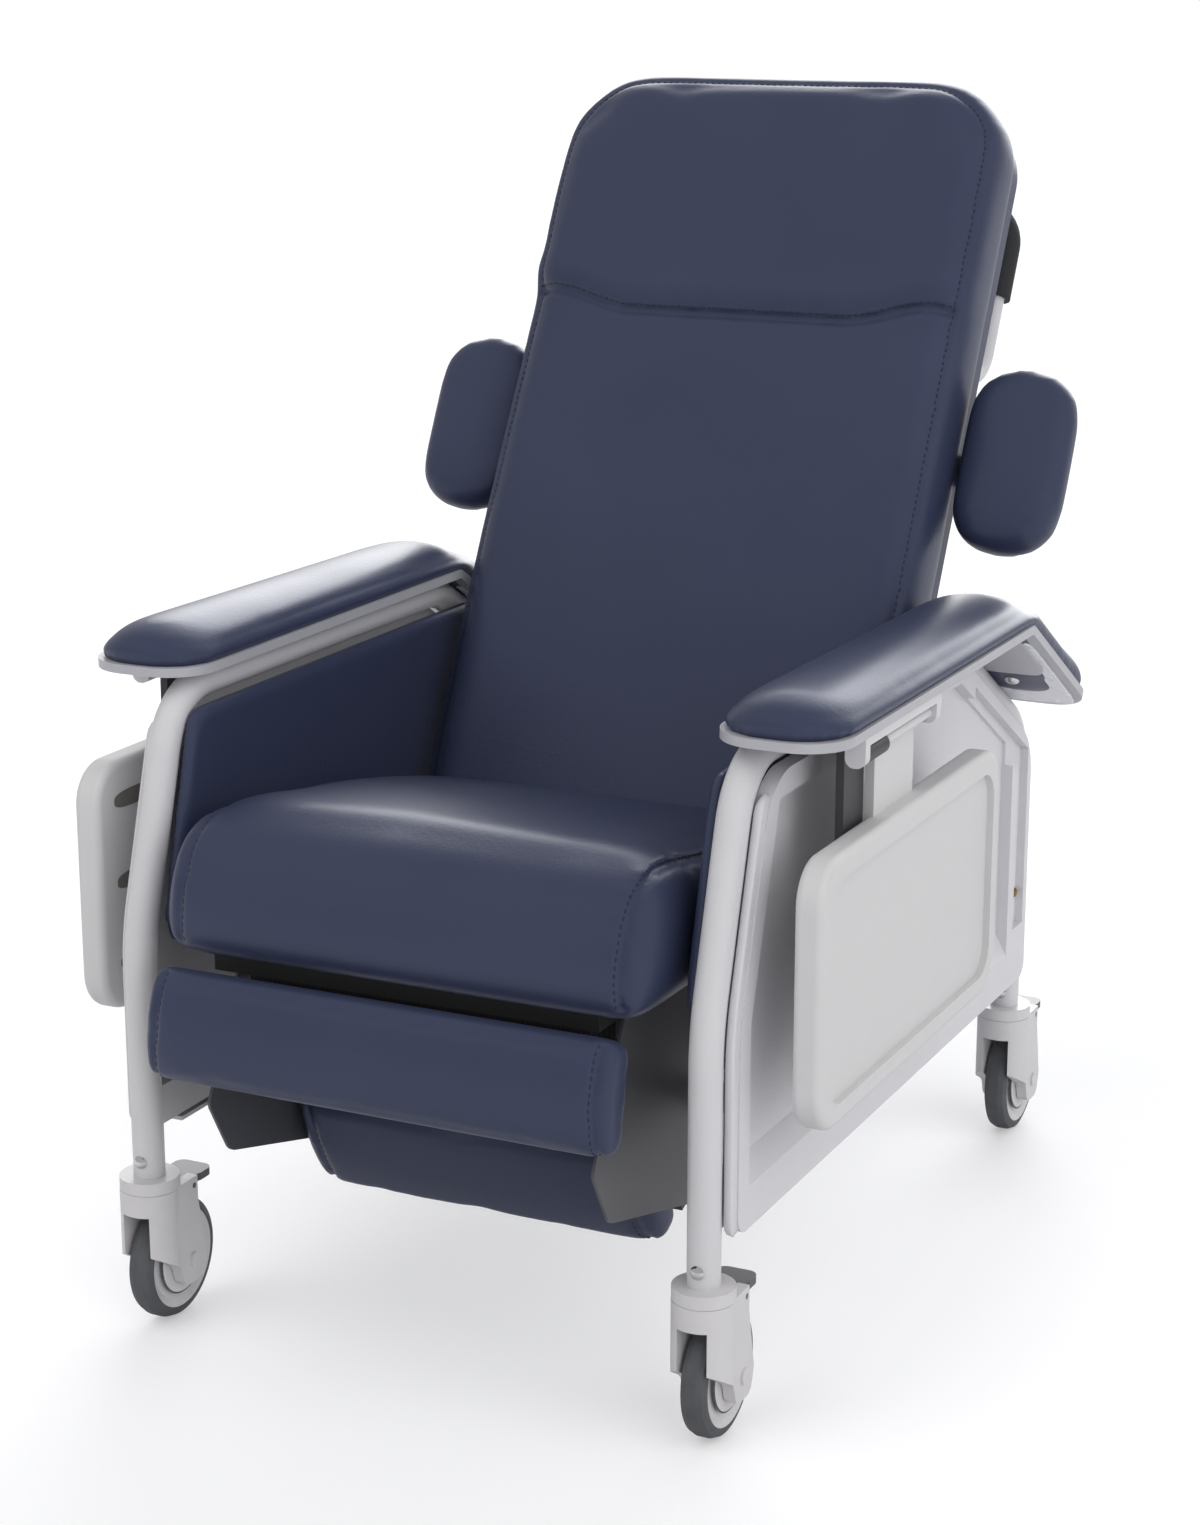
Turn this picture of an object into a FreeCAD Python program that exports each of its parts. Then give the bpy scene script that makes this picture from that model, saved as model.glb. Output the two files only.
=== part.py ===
"""Clinical recliner: two bent-tube side frames on four braked casters, a padded seat,
a reclining back with side wings and a push handle, a folding two-pad leg rest,
padded armrests and two drop-down side trays.

Depths are measured from the front legs' axis and heights from the floor.
Left is the seated person's left, on +X. The origin is on the floor, mid-way.
"""
import FreeCAD, Part
import math
import os
import re

import Sketcher
from FreeCAD import Placement, Rotation, Vector

doc = FreeCAD.newDocument("clinical_recliner")
sheet = doc.addObject("Spreadsheet::Sheet", "Sizes")

# Driving dimensions in millimetres and degrees.
SIZES = (
    ("front_leg_setback", 470.0),
    ("running_gap", 0.4),
    ("seat_gap", 0.1),
    ("pin_clearance", 0.05),
    ("cut_overrun", 5.0),
    # Side frames
    ("leg_spacing", 603.0),
    ("wheelbase", 857.0),
    ("tube_radius", 15.9),
    ("tube_wall", 2.0),
    ("leg_foot_height", 163.0),
    ("lean_start_height", 405.0),
    ("front_lean", 16.6),
    ("rail_height", 641.0),
    ("rail_drop_depth", 604.0),
    ("rail_drop_angle", 30.3),
    ("lean_bend_radius", 250.0),
    ("front_bend_radius", 75.0),
    ("drop_bend_radius", 90.0),
    ("rear_bend_radius", 85.0),
    # Lower rails, cross tube and pivot tube
    ("lower_rail_width", 22.0),
    ("lower_rail_depth", 40.0),
    ("lower_rail_height", 214.0),
    ("rail_offset", 10.5),
    ("lower_rail_outside", "=leg_spacing / 2 + rail_offset"),
    ("cross_tube_depth", 270.0),
    ("pivot_tube_radius", 12.7),
    ("post_width", 70.0),
    ("post_thickness", 8.0),
    # Side panels
    ("panel_bottom", 207.0),
    ("panel_thickness", 16.0),
    ("panel_recess", 13.0),
    ("panel_rim", 24.0),
    ("panel_band", 66.0),
    ("panel_corner", 18.0),
    ("panel_column", 66.0),
    ("panel_channel", 34.0),
    ("panel_channel_share", 0.7),
    ("panel_ledge", 24.0),
    ("panel_lip", 24.0),
    ("panel_lip_thickness", 4.0),
    # Arm linings
    ("lining_thickness", 14.0),
    ("lining_bottom", 400.0),
    ("lining_past", 36.0),
    ("lining_corner", 30.0),
    # Armrests
    ("arm_inboard", 30.5),
    ("arm_inside", "=leg_spacing / 2 - arm_inboard"),
    ("arm_width", 127.0),
    ("arm_front", 55.0),
    ("arm_bend_past", 7.0),
    ("arm_flap", 252.0),
    ("arm_base_thickness", 9.0),
    ("arm_pad_thickness", 25.0),
    ("arm_corner", 48.0),
    ("arm_trim", 2.5),
    # Trays
    ("tray_reach", 96.5),
    ("tray_outside", "=leg_spacing / 2 + tray_reach"),
    ("tray_thickness", 29.0),
    ("tray_front", 34.0),
    ("tray_length", 487.0),
    ("tray_bottom", 304.0),
    ("tray_width", 259.0),
    ("tray_corner", 42.0),
    ("tray_rim", 22.0),
    ("tray_recess", 7.0),
    ("tray_edge_round", 8.0),
    ("dimple_length", 70.0),
    ("dimple_width", 26.0),
    ("dimple_depth", 9.0),
    ("dimple_height", 434.0),
    ("tongue_front", 206.0),
    ("tongue_width", 104.0),
    ("tongue_thickness", 9.0),
    ("tongue_top", 644.0),
    ("tray_pin_reach", 82.5),
    ("tray_pin_offset", "=leg_spacing / 2 + tray_pin_reach"),
    ("tray_pin_height", 636.0),
    ("tray_pin_radius", 5.0),
    ("tray_pin_front", 150.0),
    ("tray_pin_length", 190.0),
    ("tray_arm_front", 152.0),
    ("tray_arm_width", 50.0),
    ("tray_arm_thickness", 8.0),
    ("knuckle_radius", 10.0),
    ("lug_width", 12.0),
    ("lug_round_share", 0.9),
    ("tray_foot", 40.0),
    # Seat
    ("seat_side_gap", 14.2),
    ("seat_half_width", "=leg_spacing / 2 - tube_radius - running_gap - lining_thickness - seat_side_gap"),
    ("seat_bottom", 412.0),
    ("seat_front", -38.0),
    ("seat_nose_depth", -26.0),
    ("seat_nose_height", 489.0),
    ("seat_top_depth", 33.0),
    ("seat_top_height", 540.0),
    ("seat_rear_setback", 93.0),
    ("seat_rear_height", 453.0),
    ("seat_foot_setback", 131.0),
    ("seat_crown", 9.0),
    ("seat_nose_bulge", 13.0),
    ("seat_end_round", 16.0),
    ("seat_board_thickness", 15.0),
    ("seat_board_inset", 53.0),
    ("seat_board_half_width", "=seat_half_width - seat_board_inset"),
    ("seat_board_front", -18.0),
    ("seat_board_setback", 10.0),
    ("side_plate_inset", 17.6),
    ("side_plate_inside", "=seat_board_half_width - side_plate_inset"),
    ("side_plate_thickness", 5.0),
    ("side_plate_eye_radius", 20.0),
    # Leg shields
    ("shield_thickness", 3.0),
    ("shield_toe_depth", -36.0),
    ("shield_toe_height", 264.0),
    ("shield_heel_depth", -2.0),
    ("shield_heel_height", 205.0),
    ("shield_low_depth", 200.0),
    ("shield_low_height", 150.0),
    ("shield_rear_depth", 262.0),
    ("shield_top_depth", 38.0),
    ("shield_corner", 22.0),
    # Back
    ("back_hinge_depth", 569.0),
    ("back_hinge_height", 310.0),
    ("back_lean", 28.0),
    ("back_side_gap", 7.2),
    ("back_half_width", "=leg_spacing / 2 - tube_radius - running_gap - lining_thickness - back_side_gap"),
    ("back_face", -144.0),
    ("back_cushion_thickness", 96.0),
    ("back_board_thickness", 20.0),
    ("back_bottom", -24.5),
    ("back_top", 954.0),
    ("back_corner", 84.0),
    ("back_crown", 7.0),
    ("back_end_round", 12.0),
    ("back_face_draw", 6.0),
    ("back_top_bulge", 16.0),
    ("head_seam_height", 665.0),
    ("head_seam_dip", 15.0),
    ("head_seam_draw", 4.0),
    ("hinge_plate_thickness", 5.0),
    ("hinge_plate_step", 7.0),
    ("hinge_plate_inside", "=side_plate_inside + hinge_plate_step"),
    ("hinge_eye_radius", 21.0),
    ("hinge_strap_width", 34.0),
    ("hinge_strap_height", 190.0),
    ("hinge_lever_length", 46.0),
    ("hinge_lever_angle", 20.0),
    ("lever_root_share", 0.75),
    ("handle_inset", 41.0),
    ("handle_half_width", "=back_half_width - handle_inset"),
    ("handle_tube_radius", 11.0),
    ("handle_tube_wall", 1.6),
    ("handle_foot_height", 655.0),
    ("handle_reach", 52.0),
    ("handle_top", 863.0),
    ("handle_bend_radius", 42.0),
    ("grip_radius", 17.5),
    ("grip_foot_height", 760.0),
    # Wings
    ("wing_gap", 3.0),
    ("wing_width", 111.0),
    ("wing_bottom", 430.0),
    ("wing_height", 198.0),
    ("wing_front", -88.0),
    ("wing_thickness", 50.0),
    ("wing_corner", 46.0),
    ("wing_edge_round", 16.0),
    ("wing_bar_width", 36.0),
    ("wing_bar_thickness", 5.0),
    ("wing_track_height", 200.0),
    ("wing_track_inset", 59.0),
    ("wing_track_inside", "=back_half_width - wing_track_inset"),
    # Leg rest
    ("leg_hinge_depth", 80.0),
    ("leg_hinge_height", 378.0),
    ("lower_leg_tilt", 27.0),
    ("lower_link_length", 170.0),
    ("link_thickness", 4.0),
    ("link_half_width", 11.0),
    ("link_eye_radius", 13.0),
    ("link_gap", 1.2),
    ("link_pin_radius", 5.0),
    ("lower_pad_inset", 8.0),
    ("lower_pad_half_width", "=seat_board_half_width - lower_pad_inset"),
    ("lower_pad_start", 142.0),
    ("lower_pad_length", 126.0),
    ("lower_pad_thickness", 48.0),
    ("lower_plate_offset", 11.0),
    ("pad_plate_thickness", 3.0),
    ("pad_bulge", 8.0),
    ("pad_end_round", 14.0),
    ("front_hinge_depth", -28.0),
    ("front_hinge_height", 345.0),
    ("front_pad_tilt", 10.7),
    ("front_pad_inset", 9.0),
    ("front_pad_half_width", "=seat_half_width - front_pad_inset"),
    ("front_pad_above", 58.0),
    ("front_pad_height", 112.0),
    ("front_pad_thickness", 42.0),
    ("front_plate_offset", 14.0),
    ("drive_crank_length", 16.0),
    ("drive_crank_angle", 19.0),
    ("drive_slot", 8.0),
    ("drive_slot_width", 17.6),
    # Casters
    ("collar_radius", 30.0),
    ("collar_height", 13.0),
    ("stem_length", 60.0),
    ("kingpin_radius", 6.0),
    ("kingpin_length", 13.0),
    ("fork_crown", 17.0),
    ("fork_half_width", 27.0),
    ("fork_slot", 30.0),
    ("wheel_radius", 62.5),
    ("wheel_width", 26.0),
    ("tyre_depth", 11.0),
    ("tyre_round", 8.0),
    ("hub_radius", 24.0),
    ("fork_toe_share", 0.7),
    ("fork_round_share", 0.55),
    ("crown_round_share", 0.98),
    ("tyre_shoulder_share", 0.3),
    ("caster_trail", 33.0),
    ("axle_radius", 5.0),
    ("axle_head", 8.0),
    ("axle_head_thickness", 2.5),
    ("pedal_length", 46.0),
    ("pedal_half_width", 20.0),
    ("pedal_thickness", 8.0),
    ("pedal_pivot_depth", 38.0),
    ("pedal_pivot_drop", 9.0),
    ("pedal_pin_radius", 3.0),
    ("bolt_radius", 7.0),
    ("bolt_dome", 4.0),
    ("bolt_height", 180.0),
)

for row, (alias, value) in enumerate(SIZES, start=1):
    sheet.set("A%d" % row, alias)
    sheet.set("B%d" % row, str(value))
    sheet.setAlias("B%d" % row, alias)
doc.recompute()

ALIAS = re.compile(r"\b(%s)\b" % "|".join(alias for alias, value in SIZES))


def size(expression):
    """The value of an expression in the sheet's names."""
    value = sheet.evalExpression(expression)
    return getattr(value, "Value", value)


def bind(thing, target, expression):
    """Tie one property of a document object to the sheet."""
    thing.setExpression(target, ALIAS.sub(r"Sizes.\1", expression))


# Frames that the pieces are built in: depth, height and turn about X of each.
FLOOR = ("0", "0", "0")
BACK = ("back_hinge_depth", "back_hinge_height", "-back_lean")
LOWER = ("leg_hinge_depth", "leg_hinge_height", "lower_leg_tilt")
FRONT = ("front_hinge_depth", "front_hinge_height", "-front_pad_tilt")

# How near two places must be to count as one, in millimetres
NEARLY = 0.001

# How each piece is made


def box(name, spans):
    """A block; spans are its low corner and its size on X, Y and Z."""
    block = doc.addObject("Part::Box", name)
    for axis, prop, (low, length) in zip("xyz", ("Length", "Width", "Height"), spans):
        bind(block, prop, length)
        bind(block, "Placement.Base." + axis, low)
    return block


TURNS = {
    "X": Rotation(Vector(0, 1, 0), 90),
    "Y": Rotation(Vector(1, 0, 0), -90),
    "Z": Rotation(),
}


def rod(name, radius, length, start, along):
    """A round bar from a start point along one axis."""
    bar = doc.addObject("Part::Cylinder", name)
    bar.Placement = Placement(Vector(), TURNS[along])
    bind(bar, "Radius", radius)
    bind(bar, "Height", length)
    for axis, place in zip("xyz", start):
        bind(bar, "Placement.Base." + axis, place)
    return bar


def fuse(name, *pieces):
    """One solid from touching shapes."""
    joined = doc.addObject("Part::MultiFuse", name)
    joined.Shapes = list(pieces)
    joined.Refine = True
    return joined


def cut(name, base, *tools):
    """A shape with others taken away."""
    left = doc.addObject("Part::Cut", name)
    left.Base = base
    left.Tool = tools[0] if len(tools) == 1 else fuse(name + "_tools", *tools)
    return left


def mirror(name, source):
    """The right-hand copy of a left-hand shape."""
    copy = doc.addObject("Part::Mirroring", name)
    copy.Source = source
    copy.Normal = Vector(1, 0, 0)
    return copy


def shape(name, solid):
    """A form worked out from the sheet by lofting or sweeping."""
    feature = doc.addObject("Part::Feature", name)
    feature.Shape = solid
    return feature


def outline(body, name, plane, corners, start="0"):
    """A sketch of straight runs whose corners are tied to the sheet."""
    sketch = body.newObject("Sketcher::SketchObject", name)
    support = [item for item in body.Origin.OriginFeatures if item.Role == plane + "_Plane"]
    sketch.AttachmentSupport = [(support[0], "")]
    sketch.MapMode = "FlatFace"
    bind(sketch, "AttachmentOffset.Base.z", start)
    points = [Vector(size(across), size(up), 0) for across, up in corners]
    last = len(points)
    for index, point in enumerate(points):
        sketch.addGeometry(Part.LineSegment(point, points[(index + 1) % last]), False)
    for index in range(last):
        sketch.addConstraint(Sketcher.Constraint("Coincident", index, 2, (index + 1) % last, 1))
    for index, (across, up) in enumerate(corners):
        for kind, place in (("DistanceX", across), ("DistanceY", up)):
            rule = Sketcher.Constraint(kind, -1, 1, index, 1, size(place))
            bind(sketch, "Constraints[%d]" % sketch.addConstraint(rule), place)
    return sketch


def pad(body, name, plane, corners, thickness, start="0"):
    """An outline given a thickness."""
    feature = body.newObject("PartDesign::Pad", name)
    feature.Profile = outline(body, name + "_outline", plane, corners, start)
    bind(feature, "Length", thickness)
    doc.recompute()
    return feature


def pocket(body, name, plane, corners, depth, start, inward=True):
    """A recess cut back from a start plane, against the sketch's normal or along it."""
    before = body.Shape.Volume
    feature = body.newObject("PartDesign::Pocket", name)
    feature.Profile = outline(body, name + "_outline", plane, corners, start)
    feature.Reversed = not inward
    bind(feature, "Length", depth)
    doc.recompute()
    if not body.Shape.Volume < before:
        raise RuntimeError(name + " cuts nothing")
    return feature


def fillet(body, name, radius, chosen):
    """Round the edges of a body's last feature that a test picks out."""
    base = body.Tip
    edges = ["Edge%d" % (n + 1) for n, edge in enumerate(base.Shape.Edges) if chosen(edge)]
    feature = body.newObject("PartDesign::Fillet", name)
    feature.Base = (base, edges)
    bind(feature, "Radius", radius)
    doc.recompute()
    return feature


def at_corner(plane, across, up):
    """A test for the straight edge that stands on one corner of an outline."""
    axes = {"YZ": ("y", "z"), "XZ": ("x", "z"), "XY": ("x", "y")}[plane]
    place = (size(across), size(up))

    def chosen(edge):
        ends = [vertex.Point for vertex in edge.Vertexes]
        return len(ends) == 2 and all(
            abs(getattr(end, axis) - at) < NEARLY for end in ends for axis, at in zip(axes, place)
        )

    return chosen


def plate(name, plane, corners, thickness, start="0", rounds=()):
    """A body of one outline; rounds pairs a corner's number with its radius."""
    body = doc.addObject("PartDesign::Body", name)
    pad(body, name + "_pad", plane, corners, thickness, start)
    for number, radius in rounds:
        fillet(body, "%s_round%d" % (name, number), radius, at_corner(plane, *corners[number]))
    return body


def path(points, bends):
    """A wire of straight runs joined by tangent arcs at the inner points."""
    edges = []
    here = points[0]
    for before, corner, after, radius in zip(points, points[1:], points[2:], bends):
        back = (before - corner).normalize()
        ahead = (after - corner).normalize()
        half = back.getAngle(ahead) / 2
        reach = radius / math.tan(half)
        inward = (back + ahead).normalize()
        start = corner + back * reach
        middle = corner + inward * (radius / math.sin(half) - radius)
        end = corner + ahead * reach
        edges.append(Part.LineSegment(here, start).toShape())
        edges.append(Part.Arc(start, middle, end).toShape())
        here = end
    edges.append(Part.LineSegment(here, points[-1]).toShape())
    return Part.Wire(edges)


def sweep(name, spine, radius):
    """A round section carried along a wire."""
    first = spine.Edges[0]
    start = first.Vertexes[0].Point
    heading = first.Vertexes[1].Point - start
    ring = doc.addObject("Part::Circle", name + "_section")
    ring.Placement = Placement(start, Rotation(Vector(0, 0, 1), heading))
    bind(ring, "Radius", radius)
    swept = doc.addObject("Part::Sweep", name)
    swept.Sections = [ring]
    route = shape(name + "_route", spine)
    swept.Spine = (route, ["Edge%d" % (n + 1) for n in range(len(spine.Edges))])
    swept.Solid = True
    swept.Frenet = False
    return swept


def tube(name, spine, radius, wall):
    """A bent tube with its bore."""
    outer = sweep(name + "_outer", spine, radius)
    bore = sweep(name + "_bore", spine, "%s - (%s)" % (radius, wall))
    return cut(name + "_wall", outer, bore)


def side(start, end, bulge, outward):
    """One side of a section: straight, or an arc that stands out by its bulge."""
    if abs(bulge) < NEARLY:
        return Part.LineSegment(start, end).toShape()
    return Part.Arc(start, (start + end) / 2 + outward * bulge, end).toShape()


def section(points, bulges, normal):
    """A closed wire round a section, whose corners run anticlockwise about its normal."""
    edges = []
    for index, bulge in enumerate(bulges):
        start = points[index]
        end = points[(index + 1) % len(points)]
        outward = (end - start).cross(normal).normalize()
        edges.append(side(start, end, bulge, outward))
    return Part.Wire(edges)


QUARTER_TURNS = (0, 22.5, 45, 67.5, 90)


def inset_at(place, half_width, radius):
    """How far a rounded end draws the section in at a place across it."""
    within = radius - (half_width - abs(place))
    if within <= 0:
        return 0
    return radius - math.sqrt(max(0, radius * radius - within * within))


def stations(half_width, radius, shares):
    """Places across a cushion: close together round its ends, then at the given shares."""
    ends = [half_width - radius * (1 - math.cos(math.radians(turn))) for turn in QUARTER_TURNS]
    right = sorted(set(ends + [half_width * share for share in shares]))
    return [-place for place in reversed(right)] + [0] + right


def across_loft(places, profile):
    """A loft on X through the profile at each place."""
    wires = []
    for place in places:
        corners, bulges = profile(place)
        points = [Vector(place, depth, height) for depth, height in corners]
        wires.append(section(points, bulges, Vector(1, 0, 0)))
    return Part.makeLoft(wires, True, True)


def drawn_in(corners, amount):
    """Corners brought towards their middle by an amount on every side."""
    drawn = []
    for axis in (0, 1):
        values = [corner[axis] for corner in corners]
        middle = (max(values) + min(values)) / 2
        keep = 1 - 2 * amount / (max(values) - min(values))
        drawn.append([middle + (value - middle) * keep for value in values])
    return list(zip(*drawn))


nodes = []


def node(label, frame, *members):
    """A finished piece, set down in its frame."""
    piece = doc.addObject("Part::Compound", label)
    piece.Label = label
    piece.Links = list(members)
    depth, height, turn = frame
    piece.Placement = Placement(Vector(), Rotation(Vector(1, 0, 0), size(turn)))
    bind(piece, "Placement.Base.y", "%s - front_leg_setback" % depth)
    bind(piece, "Placement.Base.z", height)
    nodes.append(piece)
    return piece


def pair(stem, frame, left):
    """A left-hand piece and its mirrored right-hand twin, as two nodes."""
    node(stem + "_left", frame, left)
    node(stem + "_right", frame, mirror(stem + "_twin", left))


def both(label, frame, left):
    """A left-hand piece and its twin in one node."""
    node(label, frame, left, mirror(label + "_twin", left))


# Side frames: one bent tube each side makes front leg, arm rail and rear leg
LEG = "leg_spacing / 2"
leg = size(LEG)
lean_run = size("(rail_height - lean_start_height) * tan(front_lean)")
drop = size("rail_height - (wheelbase - rail_drop_depth) * tan(rail_drop_angle)")
hoop_points = [
    Vector(leg, 0, size("leg_foot_height")),
    Vector(leg, 0, size("lean_start_height")),
    Vector(leg, lean_run, size("rail_height")),
    Vector(leg, size("rail_drop_depth"), size("rail_height")),
    Vector(leg, size("wheelbase"), drop),
    Vector(leg, size("wheelbase"), size("leg_foot_height")),
]
hoop = path(hoop_points, [size(bend) for bend in ("lean_bend_radius", "front_bend_radius", "drop_bend_radius", "rear_bend_radius")])
pair("side_frame", FLOOR, tube("hoop", hoop, "tube_radius", "tube_wall"))

# Lower rails between the legs, and the tubes that cross from side to side
RAIL_IN = "lower_rail_outside - lower_rail_width"
rail = cut(
    "lower_rail_bored",
    box("lower_rail_block", (
        (RAIL_IN, "lower_rail_width"),
        ("0", "wheelbase"),
        ("lower_rail_height", "lower_rail_depth"),
    )),
    box("lower_rail_bore", (
        (RAIL_IN + " + tube_wall", "lower_rail_width - 2 * tube_wall"),
        ("0", "wheelbase"),
        ("lower_rail_height + tube_wall", "lower_rail_depth - 2 * tube_wall"),
    )),
    *[
        rod("rail_cope_" + end, "tube_radius + seat_gap", "lower_rail_height + lower_rail_depth + cut_overrun",
            (LEG, depth, "0"), "Z")
        for end, depth in (("front", "0"), ("rear", "wheelbase"))
    ],
)
CROSS_HEIGHT = "lower_rail_height + lower_rail_depth / 2"
cross = cut(
    "cross_tube_wall",
    rod("cross_tube_outer", "tube_radius", "2 * (lower_rail_outside - lower_rail_width)",
        ("-(%s)" % RAIL_IN, "cross_tube_depth", CROSS_HEIGHT), "X"),
    rod("cross_tube_bore", "tube_radius - tube_wall", "2 * (lower_rail_outside - lower_rail_width)",
        ("-(%s)" % RAIL_IN, "cross_tube_depth", CROSS_HEIGHT), "X"),
)
POST_IN = RAIL_IN + " - post_thickness"
pivot = cut(
    "pivot_tube_wall",
    rod("pivot_tube_outer", "pivot_tube_radius", "2 * (%s)" % POST_IN,
        ("-(%s)" % POST_IN, "back_hinge_depth", "back_hinge_height"), "X"),
    rod("pivot_tube_bore", "pivot_tube_radius - tube_wall", "2 * (%s)" % POST_IN,
        ("-(%s)" % POST_IN, "back_hinge_depth", "back_hinge_height"), "X"),
)
node("cross_tubes", FLOOR, cross, pivot)

POST_TOP = "back_hinge_height + post_width / 2"
post = plate(
    "pivot_post", "YZ",
    (
        ("back_hinge_depth - post_width", "lower_rail_height"),
        ("back_hinge_depth + post_width", "lower_rail_height"),
        ("back_hinge_depth + post_width / 2", POST_TOP),
        ("back_hinge_depth - post_width / 2", POST_TOP),
    ),
    "post_thickness", POST_IN,
    ((2, "post_width / 3"), (3, "post_width / 3")),
)
both("base_rails", FLOOR, fuse("base_rail", rail, post))

# Side panels: moulded pans behind each hoop, with a raised rim, a deep field,
# a plain band along the bottom and a column at the rear
NEAR = "tube_radius + running_gap"
PANEL_IN = "lower_rail_outside"
PANEL_OUT = "lower_rail_outside + panel_thickness"
TOP = "rail_height - %s" % NEAR
front_slip = "(%s) / cos(front_lean)" % NEAR
slope_slip = "(%s) / cos(rail_drop_angle)" % NEAR
panel_corners = (
    (NEAR, "panel_bottom"),
    ("wheelbase - (%s)" % NEAR, "panel_bottom"),
    ("wheelbase - (%s)" % NEAR,
     "rail_height - (wheelbase - (%s) - rail_drop_depth) * tan(rail_drop_angle) - %s" % (NEAR, slope_slip)),
    ("rail_drop_depth - (%s) * tan(rail_drop_angle / 2)" % NEAR, TOP),
    ("(%s - lean_start_height) * tan(front_lean) + %s" % (TOP, front_slip), TOP),
    (NEAR, "lean_start_height + (%s) * tan(front_lean / 2) * -1" % NEAR),
)
panel = plate(
    "side_panel", "YZ", panel_corners, "panel_thickness", PANEL_IN,
    (
        (0, "panel_corner"),
        (1, "panel_corner"),
        (2, "rear_bend_radius - (%s)" % NEAR),
        (4, "front_bend_radius - (%s)" % NEAR),
        (5, "lean_bend_radius - (%s)" % NEAR),
    ),
)
FIELD_FRONT = "%s + panel_rim" % NEAR
FIELD_REAR = "wheelbase - (%s) - panel_column" % NEAR
FIELD_TOP = "%s - panel_rim" % TOP
FIELD_BOTTOM = "panel_bottom + panel_band"
field_slope = "rail_height - (%s - rail_drop_depth) * tan(rail_drop_angle) - (%s) - panel_rim / cos(rail_drop_angle)" % (
    FIELD_REAR, slope_slip)
pocket(
    panel, "panel_field", "YZ",
    (
        (FIELD_FRONT, FIELD_BOTTOM),
        (FIELD_REAR, FIELD_BOTTOM),
        (FIELD_REAR, field_slope),
        ("rail_drop_depth - (%s + panel_rim) * tan(rail_drop_angle / 2)" % NEAR, FIELD_TOP),
        ("(%s - lean_start_height) * tan(front_lean) + (%s + panel_rim) / cos(front_lean)" % (FIELD_TOP, NEAR), FIELD_TOP),
        (FIELD_FRONT, "lean_start_height"),
    ),
    "panel_recess", PANEL_OUT,
)
CHANNEL_REAR = "wheelbase - (%s) - panel_rim / 2" % NEAR
CHANNEL_FRONT = "%s - panel_channel" % CHANNEL_REAR


def slope_height(depth, inset):
    """The height at a depth of a line that runs below the hoop's rear slope by an inset."""
    return "rail_height - (%s - rail_drop_depth) * tan(rail_drop_angle) - (%s) / cos(rail_drop_angle)" % (depth, inset)


OUTER_INSET = "%s + panel_rim / 2" % NEAR
INNER_INSET = "%s + panel_channel" % OUTER_INSET
CHANNEL_HEAD = "rail_drop_depth + panel_channel"
pocket(
    panel, "panel_rear_channel", "YZ",
    (
        (CHANNEL_FRONT, FIELD_BOTTOM),
        (CHANNEL_REAR, FIELD_BOTTOM),
        (CHANNEL_REAR, slope_height(CHANNEL_REAR, OUTER_INSET)),
        (CHANNEL_HEAD, slope_height(CHANNEL_HEAD, OUTER_INSET)),
        (CHANNEL_HEAD, slope_height(CHANNEL_HEAD, INNER_INSET)),
        (CHANNEL_FRONT, slope_height(CHANNEL_FRONT, INNER_INSET)),
    ),
    "panel_recess * panel_channel_share", PANEL_OUT,
)
pad(
    panel, "panel_bottom_lip", "YZ",
    (
        (FIELD_FRONT, "panel_bottom"),
        (FIELD_REAR, "panel_bottom"),
        (FIELD_REAR, "panel_bottom + panel_lip_thickness"),
        (FIELD_FRONT, "panel_bottom + panel_lip_thickness"),
    ),
    "panel_lip", "lower_rail_outside - panel_lip",
)
ledge = plate(
    "panel_ledge_wedge", "XZ",
    (
        (PANEL_OUT + " - panel_recess", FIELD_BOTTOM),
        (PANEL_OUT, FIELD_BOTTOM + " - panel_ledge"),
        (PANEL_OUT + " + cut_overrun", FIELD_BOTTOM),
    ),
    "%s - (%s)" % (FIELD_REAR, FIELD_FRONT), "-(%s)" % FIELD_REAR,
)
pair("side_panel", FLOOR, cut("side_panel_ledged", panel, ledge))

# Arm linings: upholstered boards inside each hoop
LINING_OUT = "%s - tube_radius - running_gap" % LEG
LINING_REAR = "rail_drop_depth + lining_past"
lining = plate(
    "arm_lining", "YZ",
    (
        ("panel_rim", "lining_bottom"),
        (LINING_REAR, "lining_bottom"),
        (LINING_REAR, "rail_height - panel_rim / 2"),
        ("(rail_height - panel_rim / 2 - lean_start_height) * tan(front_lean)", "rail_height - panel_rim / 2"),
        ("panel_rim / 2", "lean_start_height + panel_rim"),
    ),
    "lining_thickness", "%s - lining_thickness" % LINING_OUT,
    ((3, "lining_corner"), (2, "lining_corner / 3")),
)
pair("arm_lining", FLOOR, lining)

# Armrests: a bent base board that lies along the rail and droops at the rear, with a pad on it
ARM_BOTTOM = "rail_height + tube_radius + seat_gap"
ARM_BEND = "rail_drop_depth + arm_bend_past"
FLAP_END = ARM_BEND + " + arm_flap * cos(rail_drop_angle)"
FLAP_FOOT = ARM_BOTTOM + " - arm_flap * sin(rail_drop_angle)"
base = plate(
    "armrest_base", "YZ",
    (
        ("arm_front", ARM_BOTTOM),
        (ARM_BEND, ARM_BOTTOM),
        (FLAP_END, FLAP_FOOT),
        (FLAP_END + " + arm_base_thickness * sin(rail_drop_angle)", FLAP_FOOT + " + arm_base_thickness * cos(rail_drop_angle)"),
        (ARM_BEND + " + arm_base_thickness * tan(rail_drop_angle / 2)", ARM_BOTTOM + " + arm_base_thickness"),
        ("arm_front", ARM_BOTTOM + " + arm_base_thickness"),
    ),
    "arm_width", "arm_inside",
)
arm_edges = (size("arm_front"), size(FLAP_END))


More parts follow.
